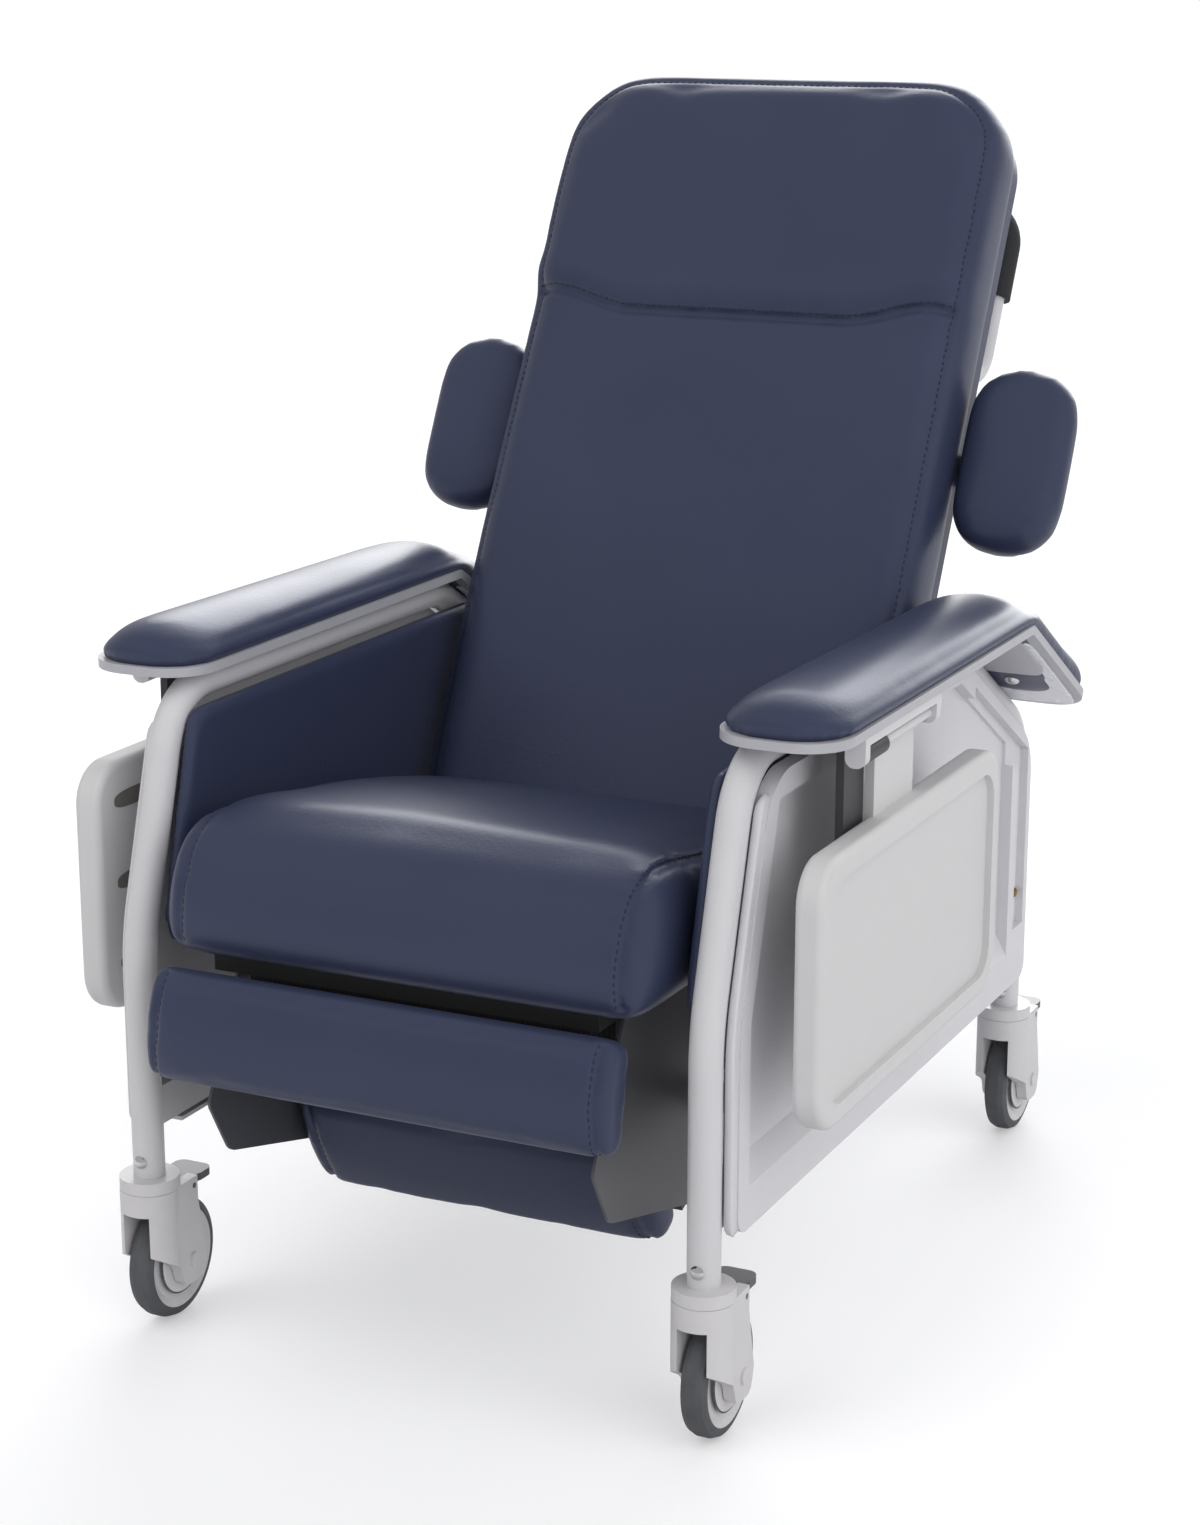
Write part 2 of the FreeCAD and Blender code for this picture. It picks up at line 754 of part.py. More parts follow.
def arm_ends(edge):
    """The short upright edges at the front and rear ends of an armrest's base."""
    middle = edge.CenterOfMass
    upright = abs(edge.BoundBox.XLength) < NEARLY and edge.Length < size("arm_base_thickness") + NEARLY
    return upright and (middle.y < arm_edges[0] + NEARLY or middle.y > arm_edges[1] - NEARLY)


fillet(base, "armrest_corners", "arm_corner", arm_ends)
pair("armrest_base", FLOOR, base)


def arm_section(along, tilt, inset, height):
    """A crowned cross-section of the arm pad, some way along the base's top face."""
    flat = size(ARM_BEND) - size("arm_front")
    rise = size(ARM_BOTTOM + " + arm_base_thickness")
    bend = size(ARM_BEND) + size("arm_base_thickness") * math.tan(math.radians(size("rail_drop_angle") / 2))
    fall = math.radians(size("rail_drop_angle"))
    if along < flat:
        foot = Vector(0, size("arm_front") + along, rise)
    else:
        beyond = along - flat
        foot = Vector(0, bend + beyond * math.cos(fall), rise - beyond * math.sin(fall))
    up = Vector(0, math.sin(math.radians(tilt)), math.cos(math.radians(tilt)))
    low = size("arm_inside") + size("arm_trim") + inset
    high = size("arm_inside + arm_width") - size("arm_trim") - inset
    shoulder = height * ARM_SHOULDER_SHARE
    points = [
        foot + Vector(low, 0, 0),
        foot + Vector(low, 0, 0) + up * shoulder,
        foot + Vector(high, 0, 0) + up * shoulder,
        foot + Vector(high, 0, 0),
    ]
    ahead = Vector(0, math.cos(math.radians(tilt)), -math.sin(math.radians(tilt)))
    return section(points, (size("arm_trim") / 2, height - shoulder, size("arm_trim") / 2, 0), ahead)


ARM_SHOULDER_SHARE = 0.38
ARM_LIP_SHARE = 0.45
flat_run = size("%s - arm_front" % ARM_BEND)
flap_run = size("arm_flap")
droop = size("rail_drop_angle")
arm_end = size("arm_corner")
arm_wires = []
for turn in QUARTER_TURNS:
    rise = math.sin(math.radians(turn))
    step = size("arm_trim") + arm_end * (1 - math.cos(math.radians(turn)))
    tall = size("arm_pad_thickness") * (ARM_LIP_SHARE + (1 - ARM_LIP_SHARE) * rise)
    arm_wires.append((step, 0, arm_end * (1 - rise), tall))
    arm_wires.append((flat_run + flap_run - step, droop, arm_end * (1 - rise), tall))
thick = size("arm_pad_thickness")
arm_wires.append((flat_run - arm_end, 0, 0, thick))
arm_wires.append((flat_run, droop / 2, 0, thick))
arm_wires.append((flat_run + arm_end, droop, 0, thick))
arm_form = Part.makeLoft([arm_section(*row) for row in sorted(arm_wires)], True, True)
pair("armrest_pad", FLOOR, shape("armrest_pad_form", arm_form))

# Trays: hollow-moulded flaps that hang beside the panels and swing up level
TRAY_IN = "tray_outside - tray_thickness"
TRAY_REAR = "tray_front + tray_length"
TRAY_TOP = "tray_bottom + tray_width"
tray_corners = (
    ("tray_front", "tray_bottom"),
    (TRAY_REAR, "tray_bottom"),
    (TRAY_REAR, TRAY_TOP),
    ("tray_front", TRAY_TOP),
)
tray = plate("tray", "YZ", tray_corners, "tray_thickness", TRAY_IN,
             tuple((number, "tray_corner") for number in range(4)))
fillet(tray, "tray_rim_round", "tray_edge_round",
       lambda edge: abs(edge.BoundBox.XLength) < NEARLY)
field = (
    ("tray_front + tray_rim", "tray_bottom + tray_rim"),
    (TRAY_REAR + " - tray_rim", "tray_bottom + tray_rim"),
    (TRAY_REAR + " - tray_rim", TRAY_TOP + " - tray_rim"),
    ("tray_front + tray_rim", TRAY_TOP + " - tray_rim"),
)
pocket(tray, "tray_field", "YZ", field, "tray_recess", "tray_outside")
for number, corner_place in enumerate(field):
    fillet(tray, "tray_field_round%d" % number, "tray_corner - tray_rim / 2", at_corner("YZ", *corner_place))
for number in range(3):
    middle = "tray_front + tray_length * %d / 4" % (number + 1)
    dimple = (
        (middle + " - dimple_length / 2", "dimple_height - dimple_width / 2"),
        (middle + " + dimple_length / 2", "dimple_height - dimple_width / 2"),
        (middle + " + dimple_length / 2", "dimple_height + dimple_width / 2"),
        (middle + " - dimple_length / 2", "dimple_height + dimple_width / 2"),
    )
    pocket(tray, "tray_dimple%d" % number, "YZ", dimple, "dimple_depth", TRAY_IN, False)
TONGUE_REAR = "tongue_front + tongue_width"
pad(
    tray, "tray_tongue", "YZ",
    (
        ("tongue_front", TRAY_TOP + " - tray_rim"),
        (TONGUE_REAR, TRAY_TOP + " - tray_rim"),
        (TONGUE_REAR, "tongue_top"),
        ("tongue_front", "tongue_top"),
    ),
    "tongue_thickness", TRAY_IN,
)
pair("tray", FLOOR, tray)

# Tray hinges: a bracket under the armrest, a pin on it, and the arm that carries the tray
ARM_FOOT = "tray_bottom + tray_width - tray_foot"
arm_knuckle = rod("tray_arm_knuckle", "knuckle_radius", "tray_arm_width",
                  ("tray_pin_offset", "tray_arm_front", "tray_pin_height"), "Y")
arm_strap = plate(
    "tray_arm_strap", "YZ",
    (
        ("tray_arm_front", ARM_FOOT),
        ("tray_arm_front + tray_arm_width", ARM_FOOT),
        ("tray_arm_front + tray_arm_width", "tray_pin_height"),
        ("tray_arm_front", "tray_pin_height"),
    ),
    "tray_arm_thickness", TRAY_IN + " - tray_arm_thickness",
)
arm_web = box("tray_arm_web", (
    (TRAY_IN + " - tray_arm_thickness", "tray_pin_offset - (%s) + tray_arm_thickness" % TRAY_IN),
    ("tray_arm_front", "tray_arm_width"),
    ("tray_pin_height - tray_arm_thickness / 2", "tray_arm_thickness"),
))
tray_arm = cut(
    "tray_arm_bored",
    fuse("tray_arm_blank", arm_knuckle, arm_strap, arm_web),
    rod("tray_arm_bore", "tray_pin_radius + pin_clearance", "tray_pin_length",
        ("tray_pin_offset", "tray_pin_front", "tray_pin_height"), "Y"),
)
pair("tray_arm", FLOOR, tray_arm)

PIN_REAR = "tray_pin_front + tray_pin_length"
tray_pin = rod("tray_pin", "tray_pin_radius", "tray_pin_length",
               ("tray_pin_offset", "tray_pin_front", "tray_pin_height"), "Y")

LUG_TOP = ARM_BOTTOM
bracket_top = "%s - (tray_pin_height + knuckle_radius + running_gap)" % LUG_TOP
lugs = []
for end, depth in (("front", "tray_arm_front - running_gap - lug_width"), ("rear", PIN_REAR + " - lug_width")):
    lugs.append(plate(
        "tray_lug_" + end, "XZ",
        (
            ("tray_pin_offset - knuckle_radius", "tray_pin_height - knuckle_radius"),
            ("tray_pin_offset + knuckle_radius", "tray_pin_height - knuckle_radius"),
            ("tray_pin_offset + knuckle_radius", LUG_TOP),
            ("tray_pin_offset - knuckle_radius", LUG_TOP),
        ),
        "lug_width", "-(%s) - lug_width" % depth,
        ((0, "knuckle_radius * lug_round_share"), (1, "knuckle_radius * lug_round_share")),
    ))
bracket = fuse(
    "tray_bracket", tray_pin, *lugs,
    box("tray_bracket_top", (
        ("tray_pin_offset - knuckle_radius", "2 * knuckle_radius"),
        ("tray_arm_front - running_gap - lug_width", PIN_REAR + " - tray_arm_front + running_gap + lug_width"),
        ("tray_pin_height + knuckle_radius + running_gap", bracket_top),
    )),
)
both("tray_hinge_brackets", FLOOR, bracket)

# Seat: a crowned cushion with a rolled nose on a board
SEAT_STATION_SHARES = (0.3, 0.6, 0.8)
SEAT_FOOT = "back_hinge_depth - seat_foot_setback"


def seat_profile(place):
    """The seat's side outline; the ends are drawn in and the middle is crowned."""
    half_width = size("seat_half_width")
    corners = [
        (size("seat_front"), size("seat_bottom")),
        (size(SEAT_FOOT), size("seat_bottom")),
        (size("back_hinge_depth - seat_rear_setback"), size("seat_rear_height")),
        (size("seat_top_depth"), size("seat_top_height")),
        (size("seat_nose_depth"), size("seat_nose_height")),
    ]
    corners = drawn_in(corners, inset_at(place, half_width, size("seat_end_round")))
    crown = size("seat_crown") * (1 - (place / half_width) ** 2)
    swell = size("seat_nose_bulge")
    return corners, (0, 0, crown + swell / 2, swell, swell / 2)


seat_places = stations(size("seat_half_width"), size("seat_end_round"), SEAT_STATION_SHARES)
node("seat_cushion", FLOOR, shape("seat_form", across_loft(seat_places, seat_profile)))

node("seat_board", FLOOR, box("seat_board_block", (
    ("-seat_board_half_width", "2 * seat_board_half_width"),
    ("seat_board_front", SEAT_FOOT + " - seat_board_setback - seat_board_front"),
    ("seat_bottom - seat_board_thickness - seat_gap", "seat_board_thickness"),
)))

# Seat side plates stand on the cross tube and the back's pivot tube, and carry the leg hinge
PLATE_TOP = "seat_bottom - seat_board_thickness - seat_gap"
CROSS_TOP = CROSS_HEIGHT + " + tube_radius"
plate_blank = plate(
    "seat_side_plate", "YZ",
    (
        ("leg_hinge_depth - 2 * link_eye_radius", PLATE_TOP),
        ("leg_hinge_depth - 2 * link_eye_radius", "leg_hinge_height - link_eye_radius"),
        ("cross_tube_depth - 2 * tube_radius", "leg_hinge_height - 3 * link_eye_radius"),
        ("cross_tube_depth - tube_radius", CROSS_TOP),
        ("cross_tube_depth + tube_radius", CROSS_TOP),
        ("cross_tube_depth + 4 * tube_radius", "back_hinge_height - 2 * hinge_eye_radius"),
        ("back_hinge_depth", "back_hinge_height - side_plate_eye_radius"),
        ("back_hinge_depth", "back_hinge_height"),
        ("back_hinge_depth - 2 * hinge_eye_radius", "back_hinge_height - hinge_eye_radius / 2"),
        (SEAT_FOOT + " - 2 * hinge_eye_radius", "back_hinge_height + hinge_eye_radius"),
        (SEAT_FOOT + " - 2 * hinge_eye_radius", PLATE_TOP),
    ),
    "side_plate_thickness", "side_plate_inside",
)
side_plate = cut(
    "seat_side_plate_bored",
    fuse(
        "seat_side_plate_eyed", plate_blank,
        rod("side_plate_eye", "side_plate_eye_radius", "side_plate_thickness",
            ("side_plate_inside", "back_hinge_depth", "back_hinge_height"), "X"),
    ),
    rod("side_plate_pivot_bore", "pivot_tube_radius + seat_gap", "side_plate_thickness",
        ("side_plate_inside", "back_hinge_depth", "back_hinge_height"), "X"),
)

LINK_IN = "side_plate_inside + side_plate_thickness + 2 * link_gap"
SECOND_IN = LINK_IN + " + link_thickness + link_gap"
leg_pin = rod("leg_hinge_pin", "link_pin_radius", "side_plate_thickness + 2 * link_gap + link_thickness + link_gap / 2",
              ("side_plate_inside", "leg_hinge_depth", "leg_hinge_height"), "X")
both("seat_side_plates", FLOOR, fuse("seat_side_plate_whole", side_plate, leg_pin))

# Leg shields: dark plates that hang from the seat board outside the leg linkage
shield = plate(
    "leg_shield", "YZ",
    (
        ("shield_toe_depth", "shield_toe_height"),
        ("shield_heel_depth", "shield_heel_height"),
        ("shield_low_depth", "shield_low_height"),
        ("shield_rear_depth", "seat_bottom - seat_gap"),
        ("shield_top_depth", "seat_bottom - seat_gap"),
    ),
    "shield_thickness", "seat_board_half_width",
    ((0, "shield_corner / 2"), (1, "shield_corner"), (2, "shield_corner")),
)
both("leg_shields", FLOOR, shield)

# Back: a tall cushion with a sewn head pillow, on a stiff board
BACK_STATION_SHARES = (0.25, 0.5, 0.68, 0.75, 0.8, 0.85, 0.9)
BACK_BOARD_FRONT = "back_face + back_cushion_thickness"


def back_top_at(place):
    """The height of the back's rounded top edge at a place across it."""
    radius = size("back_corner")
    beyond = max(0, abs(place) - (size("back_half_width") - radius))
    return size("back_top") - radius + math.sqrt(max(0, radius * radius - beyond * beyond))


def back_profile(place):
    """The back's side outline, with the seam under the head pillow drawn in."""
    half_width = size("back_half_width")
    inset = inset_at(place, half_width, size("back_end_round"))
    face = size("back_face + back_face_draw") + inset
    rear = size(BACK_BOARD_FRONT + " - seat_gap")
    top = back_top_at(place) - size("back_top_bulge") - inset / 2
    seam = size("head_seam_height") - size("head_seam_dip") * (1 - (place / half_width) ** 2)
    corners = [
        (face, size("back_bottom")),
        (rear, size("back_bottom")),
        (rear, top),
        (face + size("back_face_draw"), top),
        (face + size("head_seam_draw"), seam),
    ]
    crown = size("back_crown")
    return corners, (0, 0, size("back_top_bulge"), crown + size("head_seam_draw"), crown)


back_places = stations(size("back_half_width"), size("back_end_round"), BACK_STATION_SHARES)
node("back_cushion", BACK, shape("back_form", across_loft(back_places, back_profile)))

BOARD_DRAW = "back_end_round"
board = plate(
    "back_board_panel", "XZ",
    (
        ("-back_half_width + %s" % BOARD_DRAW, "back_bottom"),
        ("back_half_width - %s" % BOARD_DRAW, "back_bottom"),
        ("back_half_width - %s" % BOARD_DRAW, "back_top - %s" % BOARD_DRAW),
        ("-back_half_width + %s" % BOARD_DRAW, "back_top - %s" % BOARD_DRAW),
    ),
    "back_board_thickness", "-(%s) - back_board_thickness" % BACK_BOARD_FRONT,
    ((2, "back_corner"), (3, "back_corner")),
)
node("back_board", BACK, board)

# Back hinge plates: an eye on the pivot tube, a strap up the board and a lever for the drive link
BOARD_REAR = BACK_BOARD_FRONT + " + back_board_thickness"
LEVER_DEPTH = "hinge_lever_length * sin(hinge_lever_angle)"
LEVER_DROP = "-hinge_lever_length * cos(hinge_lever_angle)"
# The lever hangs from the eye in the floor's frame, so the back's lean is taken off here.
lever_turn = "hinge_lever_angle + back_lean"
LEVER_Y = "hinge_lever_length * sin(%s)" % lever_turn
LEVER_Z = "-hinge_lever_length * cos(%s)" % lever_turn
hinge_strap = plate(
    "back_hinge_strap", "YZ",
    (
        (BOARD_REAR, "-hinge_eye_radius / 2"),
        ("-hinge_eye_radius / 2", "-hinge_eye_radius / 2"),
        ("hinge_eye_radius * lever_root_share", "hinge_eye_radius / 2"),
        (BOARD_REAR + " + hinge_strap_width / 2", "hinge_strap_height"),
        (BOARD_REAR, "hinge_strap_height"),
    ),
    "hinge_plate_thickness", "hinge_plate_inside",
)
hinge_lever = plate(
    "back_hinge_lever", "YZ",
    (
        ("-hinge_eye_radius * lever_root_share", "0"),
        (LEVER_Y + " - link_half_width", LEVER_Z),
        (LEVER_Y, LEVER_Z + " - link_half_width"),
        (LEVER_Y + " + link_half_width", LEVER_Z),
        ("hinge_eye_radius * lever_root_share", "0"),
    ),
    "hinge_plate_thickness", "hinge_plate_inside",
)
hinge_eye = rod("back_hinge_eye", "hinge_eye_radius", "hinge_plate_thickness", ("hinge_plate_inside", "0", "0"), "X")
hinge_foot = box("back_hinge_foot", (
    ("hinge_plate_inside - hinge_strap_width", "hinge_strap_width + hinge_plate_thickness"),
    (BOARD_REAR + " + seat_gap", "hinge_plate_thickness"),
    ("3 * hinge_eye_radius / 2", "hinge_strap_height - 3 * hinge_eye_radius / 2"),
))
lever_pin = rod("drive_pin", "link_pin_radius", "hinge_plate_thickness + link_gap + link_thickness + link_gap",
                ("hinge_plate_inside", LEVER_Y, LEVER_Z), "X")
hinge_plate = cut(
    "back_hinge_bored",
    fuse("back_hinge_blank", hinge_strap, hinge_lever, hinge_eye, hinge_foot, lever_pin),
    rod("back_hinge_bore", "pivot_tube_radius + pin_clearance", "hinge_plate_thickness",
        ("hinge_plate_inside", "0", "0"), "X"),
)
both("back_hinge_plates", BACK, hinge_plate)

# Push handle: a bent tube behind the head, with a foam grip over its top
handle_half = size("handle_half_width")
handle_rear = size("handle_reach")
handle_points = [
    Vector(-handle_half, size(BOARD_REAR + " + seat_gap"), size("handle_foot_height")),
    Vector(-handle_half, handle_rear, size("handle_foot_height")),
    Vector(-handle_half, handle_rear, size("handle_top")),
    Vector(handle_half, handle_rear, size("handle_top")),
    Vector(handle_half, handle_rear, size("handle_foot_height")),
    Vector(handle_half, size(BOARD_REAR + " + seat_gap"), size("handle_foot_height")),
]
handle_bends = [size("handle_bend_radius")] * 4
node("push_handle", BACK, tube("handle", path(handle_points, handle_bends), "handle_tube_radius", "handle_tube_wall"))

grip_points = [
    Vector(-handle_half, handle_rear, size("grip_foot_height")),
    handle_points[2],
    handle_points[3],
    Vector(handle_half, handle_rear, size("grip_foot_height")),
]
grip = tube("grip", path(grip_points, handle_bends[:2]), "grip_radius", "grip_radius - handle_tube_radius - seat_gap")
node("push_grip", BACK, grip)


def rounded_outline(depth, inset):
    """The wing pad's outline at one depth, with its corners as quarter arcs."""
    low = size("back_half_width + wing_gap") + inset
    high = size("back_half_width + wing_gap + wing_width") - inset
    foot = size("wing_bottom") + inset
    head = size("wing_bottom + wing_height") - inset
    radius = size("wing_corner") - inset / 2
    diagonal = radius * (1 - math.sqrt(0.5))
    edges = []
    turns = (
        (low, foot, 1, 1),
        (high, foot, -1, 1),
        (high, head, -1, -1),
        (low, head, 1, -1),
    )
    arcs = []
    for number, (x, z, right, up) in enumerate(turns):
        upright = Vector(x, depth, z + up * radius)
        level = Vector(x + right * radius, depth, z)
        middle = Vector(x + right * diagonal, depth, z + up * diagonal)
        ends = (upright, level) if number % 2 == 0 else (level, upright)
        arcs.append((ends[0], middle, ends[1]))
    for number, (start, middle, end) in enumerate(arcs):
        edges.append(Part.Arc(start, middle, end).toShape())
        edges.append(Part.LineSegment(end, arcs[(number + 1) % 4][0]).toShape())
    return Part.Wire(edges)


# Wings: side pads that slide up the back on a bar behind each
wing_front = size("wing_front")
wing_rear = size("wing_front + wing_thickness")
wing_round = size("wing_edge_round")
wing_rows = []
for turn in QUARTER_TURNS:
    step = wing_round * (1 - math.cos(math.radians(turn)))
    draw = wing_round * (1 - math.sin(math.radians(turn)))
    wing_rows.append((wing_front + step, draw))
    wing_rows.append((wing_rear - step, draw))
wing_wires = [rounded_outline(depth, inset) for depth, inset in sorted(wing_rows)]
wing = shape("wing_form", Part.makeLoft(wing_wires, True, True))
pair("wing_pad", BACK, wing)

WING_REAR = "wing_front + wing_thickness"
WING_MIDDLE = "wing_bottom + wing_height / 2"
WING_IN = "back_half_width + wing_gap"
wing_hook = fuse(
    "wing_bracket_form",
    box("wing_bracket_face", (
        (WING_IN + " - wing_gap / 2", "wing_width / 2"),
        (WING_REAR + " + seat_gap", "wing_bar_thickness"),
        (WING_MIDDLE + " - wing_bar_width / 2", "wing_bar_width"),
    )),
    box("wing_bracket_return", (
        (WING_IN + " - wing_gap / 2", "wing_bar_thickness"),
        (WING_REAR + " + seat_gap", "%s - (%s) + 2 * wing_bar_thickness" % (BOARD_REAR, WING_REAR)),
        (WING_MIDDLE + " - wing_bar_width / 2", "wing_bar_width"),
    )),
    box("wing_bracket_tail", (
        ("wing_track_inside - wing_bar_width", WING_IN + " + wing_bar_thickness - wing_gap / 2 - wing_track_inside + wing_bar_width"),
        (BOARD_REAR + " + wing_bar_thickness + running_gap", "wing_bar_thickness"),
        (WING_MIDDLE + " - wing_bar_width / 2", "wing_bar_width"),
    )),
)
pair("wing_bracket", BACK, wing_hook)

both("wing_tracks", BACK, box("wing_track", (
    ("wing_track_inside - wing_bar_width", "wing_bar_width"),
    (BOARD_REAR + " + seat_gap", "wing_bar_thickness - seat_gap"),
    (WING_MIDDLE + " - wing_bar_width", "wing_track_height - wing_bar_width"),
)))


# Leg rest: a lower pad on swinging links, and a front pad on links that unfold from it
def leg_pad(half_width, face, plate_face, low, high):
    """A leg pad with a crowned face and rounded ends, against its plate."""

    def profile(place):
        inset = inset_at(place, half_width, size("pad_end_round"))
        corners = drawn_in([(face, low), (plate_face, low), (plate_face, high), (face, high)], inset)
        corners[1] = (plate_face, corners[1][1])
        corners[2] = (plate_face, corners[2][1])
        crown = size("pad_bulge")
        return corners, (crown / 2, 0, crown / 2, crown)

    places = stations(half_width, size("pad_end_round"), PAD_STATION_SHARES)
    return across_loft(places, profile)


PAD_STATION_SHARES = (0.5,)
LOWER_BACK = "-lower_plate_offset - pad_plate_thickness - seat_gap"
LOWER_LOW = "-lower_pad_start - lower_pad_length"
lower_pad = leg_pad(
    size("lower_pad_half_width"),
    size(LOWER_BACK + " - lower_pad_thickness + pad_bulge"),
    size(LOWER_BACK),
    size(LOWER_LOW + " + pad_bulge / 2"),
    size("-lower_pad_start - pad_bulge / 2"),
)
node("lower_leg_pad", LOWER, shape("lower_leg_pad_form", lower_pad))


def link(name, inside, far):
    """A flat link between two eyes, from its hinge down to a far point."""
    bar = box(name + "_bar", (
        (inside, "link_thickness"),
        ("-link_half_width", "2 * link_half_width"),
        ("-(%s)" % far, far),
    ))
    eyes = [
        rod(name + "_eye%d" % number, "link_eye_radius", "link_thickness", (inside, "0", place), "X")
        for number, place in enumerate(("0", "-(%s)" % far))
    ]
    return [bar] + eyes


CRANK_TURN = "90 - drive_crank_angle - lower_leg_tilt"
CRANK_Y = "drive_crank_length * sin(%s)" % CRANK_TURN
CRANK_Z = "-drive_crank_length * cos(%s)" % CRANK_TURN
crank = plate(
    "drive_crank_plate", "YZ",
    (
        ("-link_eye_radius", "0"),
        ("0", "-link_eye_radius"),
        (CRANK_Y, CRANK_Z + " - link_half_width"),
        (CRANK_Y + " + link_half_width", CRANK_Z),
        (CRANK_Y, CRANK_Z + " + link_half_width"),
        ("0", "link_eye_radius"),
    ),
    "link_thickness", LINK_IN,
)
lower_plate = box("lower_leg_plate", (
    ("0", LINK_IN + " + link_thickness"),
    ("-lower_plate_offset - pad_plate_thickness", "pad_plate_thickness"),
    (LOWER_LOW + " + pad_end_round", "lower_pad_length - 2 * pad_end_round"),
))
lower_web = box("lower_leg_web", (
    (LINK_IN, "link_thickness"),
    ("-lower_plate_offset - pad_plate_thickness", "lower_plate_offset + pad_plate_thickness"),
    (LOWER_LOW + " + pad_end_round", "lower_pad_length - 2 * pad_end_round"),
))
LINK_PIN = "link_thickness + link_gap + link_thickness + link_gap / 2"
lower_bits = link("lower_link", LINK_IN, "lower_link_length") + [
    crank,
    lower_plate,
    lower_web,
    rod("lower_link_pin", "link_pin_radius", LINK_PIN, (LINK_IN, "0", "-lower_link_length"), "X"),
    rod("drive_crank_pin", "link_pin_radius", LINK_PIN, (LINK_IN, CRANK_Y, CRANK_Z), "X"),
]
lower_half = cut(
    "lower_leg_half",
    fuse("lower_leg_blank", *lower_bits),
    rod("lower_leg_bore", "link_pin_radius + pin_clearance", "link_thickness", (LINK_IN, "0", "0"), "X"),
)
node("lower_leg_frame", LOWER, fuse("lower_leg_whole", lower_half, mirror("lower_leg_twin", lower_half)))

# Unfolding links between the lower pad's links and the front pad
KNEE_DEPTH = "leg_hinge_depth + lower_link_length * sin(lower_leg_tilt)"
KNEE_HEIGHT = "leg_hinge_height - lower_link_length * cos(lower_leg_tilt)"
UNFOLD_LENGTH = "sqrt((front_hinge_depth - (%s))^2 + (front_hinge_height - (%s))^2)" % (KNEE_DEPTH, KNEE_HEIGHT)
UNFOLD_TURN = "-90 deg + atan((front_hinge_height - (%s)) / (front_hinge_depth - (%s)))" % (KNEE_HEIGHT, KNEE_DEPTH)
UNFOLD = (KNEE_DEPTH, KNEE_HEIGHT, UNFOLD_TURN)
unfold = cut(
    "unfold_link_bored",
    fuse("unfold_link_blank", *link("unfold_link", SECOND_IN, UNFOLD_LENGTH)),
    *[
        rod("unfold_link_bore%d" % number, "link_pin_radius + pin_clearance", "link_thickness",
            (SECOND_IN, "0", place), "X")
        for number, place in enumerate(("0", "-(%s)" % UNFOLD_LENGTH))
    ],
)
both("unfold_links", UNFOLD, unfold)

FRONT_BACK = "-front_plate_offset - pad_plate_thickness - seat_gap"
front_pad = leg_pad(
    size("front_pad_half_width"),
    size(FRONT_BACK + " - front_pad_thickness + pad_bulge"),
    size(FRONT_BACK),
    size("front_pad_above - front_pad_height + pad_bulge / 2"),
    size("front_pad_above - pad_bulge / 2"),
)
node("front_leg_pad", FRONT, shape("front_leg_pad_form", front_pad))

FRONT_LOW = "front_pad_above - front_pad_height"
front_plate = box("front_leg_plate", (
    ("0", "front_pad_half_width - 2 * pad_end_round"),
    ("-front_plate_offset - pad_plate_thickness", "pad_plate_thickness"),
    (FRONT_LOW + " + pad_end_round", "front_pad_height - 2 * pad_end_round"),
))
front_ear = box("front_leg_ear", (
    (LINK_IN, "link_thickness"),
    ("-front_plate_offset - pad_plate_thickness", "front_plate_offset + pad_plate_thickness"),
    ("-link_eye_radius", "2 * link_eye_radius"),
))
front_eye = rod("front_leg_eye", "link_eye_radius", "link_thickness", (LINK_IN, "0", "0"), "X")
front_pin = rod("front_leg_pin", "link_pin_radius", LINK_PIN, (LINK_IN, "0", "0"), "X")
front_half = fuse("front_leg_half", front_plate, front_ear, front_eye, front_pin)
node("front_leg_frame", FRONT, fuse("front_leg_whole", front_half, mirror("front_leg_twin", front_half)))

# Drive links: from the back's levers to the cranks, so that the leg rest rises as the back goes down
DRIVE_DEPTH = "back_hinge_depth + %s" % LEVER_DEPTH
DRIVE_HEIGHT = "back_hinge_height + %s" % LEVER_DROP
CRANK_DEPTH = "leg_hinge_depth + drive_crank_length * cos(drive_crank_angle)"
CRANK_HEIGHT = "leg_hinge_height - drive_crank_length * sin(drive_crank_angle)"
DRIVE_LENGTH = "sqrt((%s - (%s))^2 + (%s - (%s))^2)" % (DRIVE_DEPTH, CRANK_DEPTH, CRANK_HEIGHT, DRIVE_HEIGHT)
DRIVE_TURN = "-90 deg - atan((%s - (%s)) / (%s - (%s)))" % (CRANK_HEIGHT, DRIVE_HEIGHT, DRIVE_DEPTH, CRANK_DEPTH)
DRIVE = (DRIVE_DEPTH, DRIVE_HEIGHT, DRIVE_TURN)
drive = cut(
    "drive_link_bored",
    fuse("drive_link_blank", *link("drive_link", SECOND_IN, DRIVE_LENGTH + " + drive_slot")),
    rod("drive_link_bore", "link_pin_radius + pin_clearance", "link_thickness", (SECOND_IN, "0", "0"), "X"),
    box("drive_link_slot", (
        (SECOND_IN, "link_thickness"),
        ("-drive_slot_width / 2", "drive_slot_width"),
        ("-(%s) - drive_slot - link_pin_radius" % DRIVE_LENGTH, "2 * (drive_slot + link_pin_radius)"),
    )),
)
both("drive_links", DRIVE, drive)

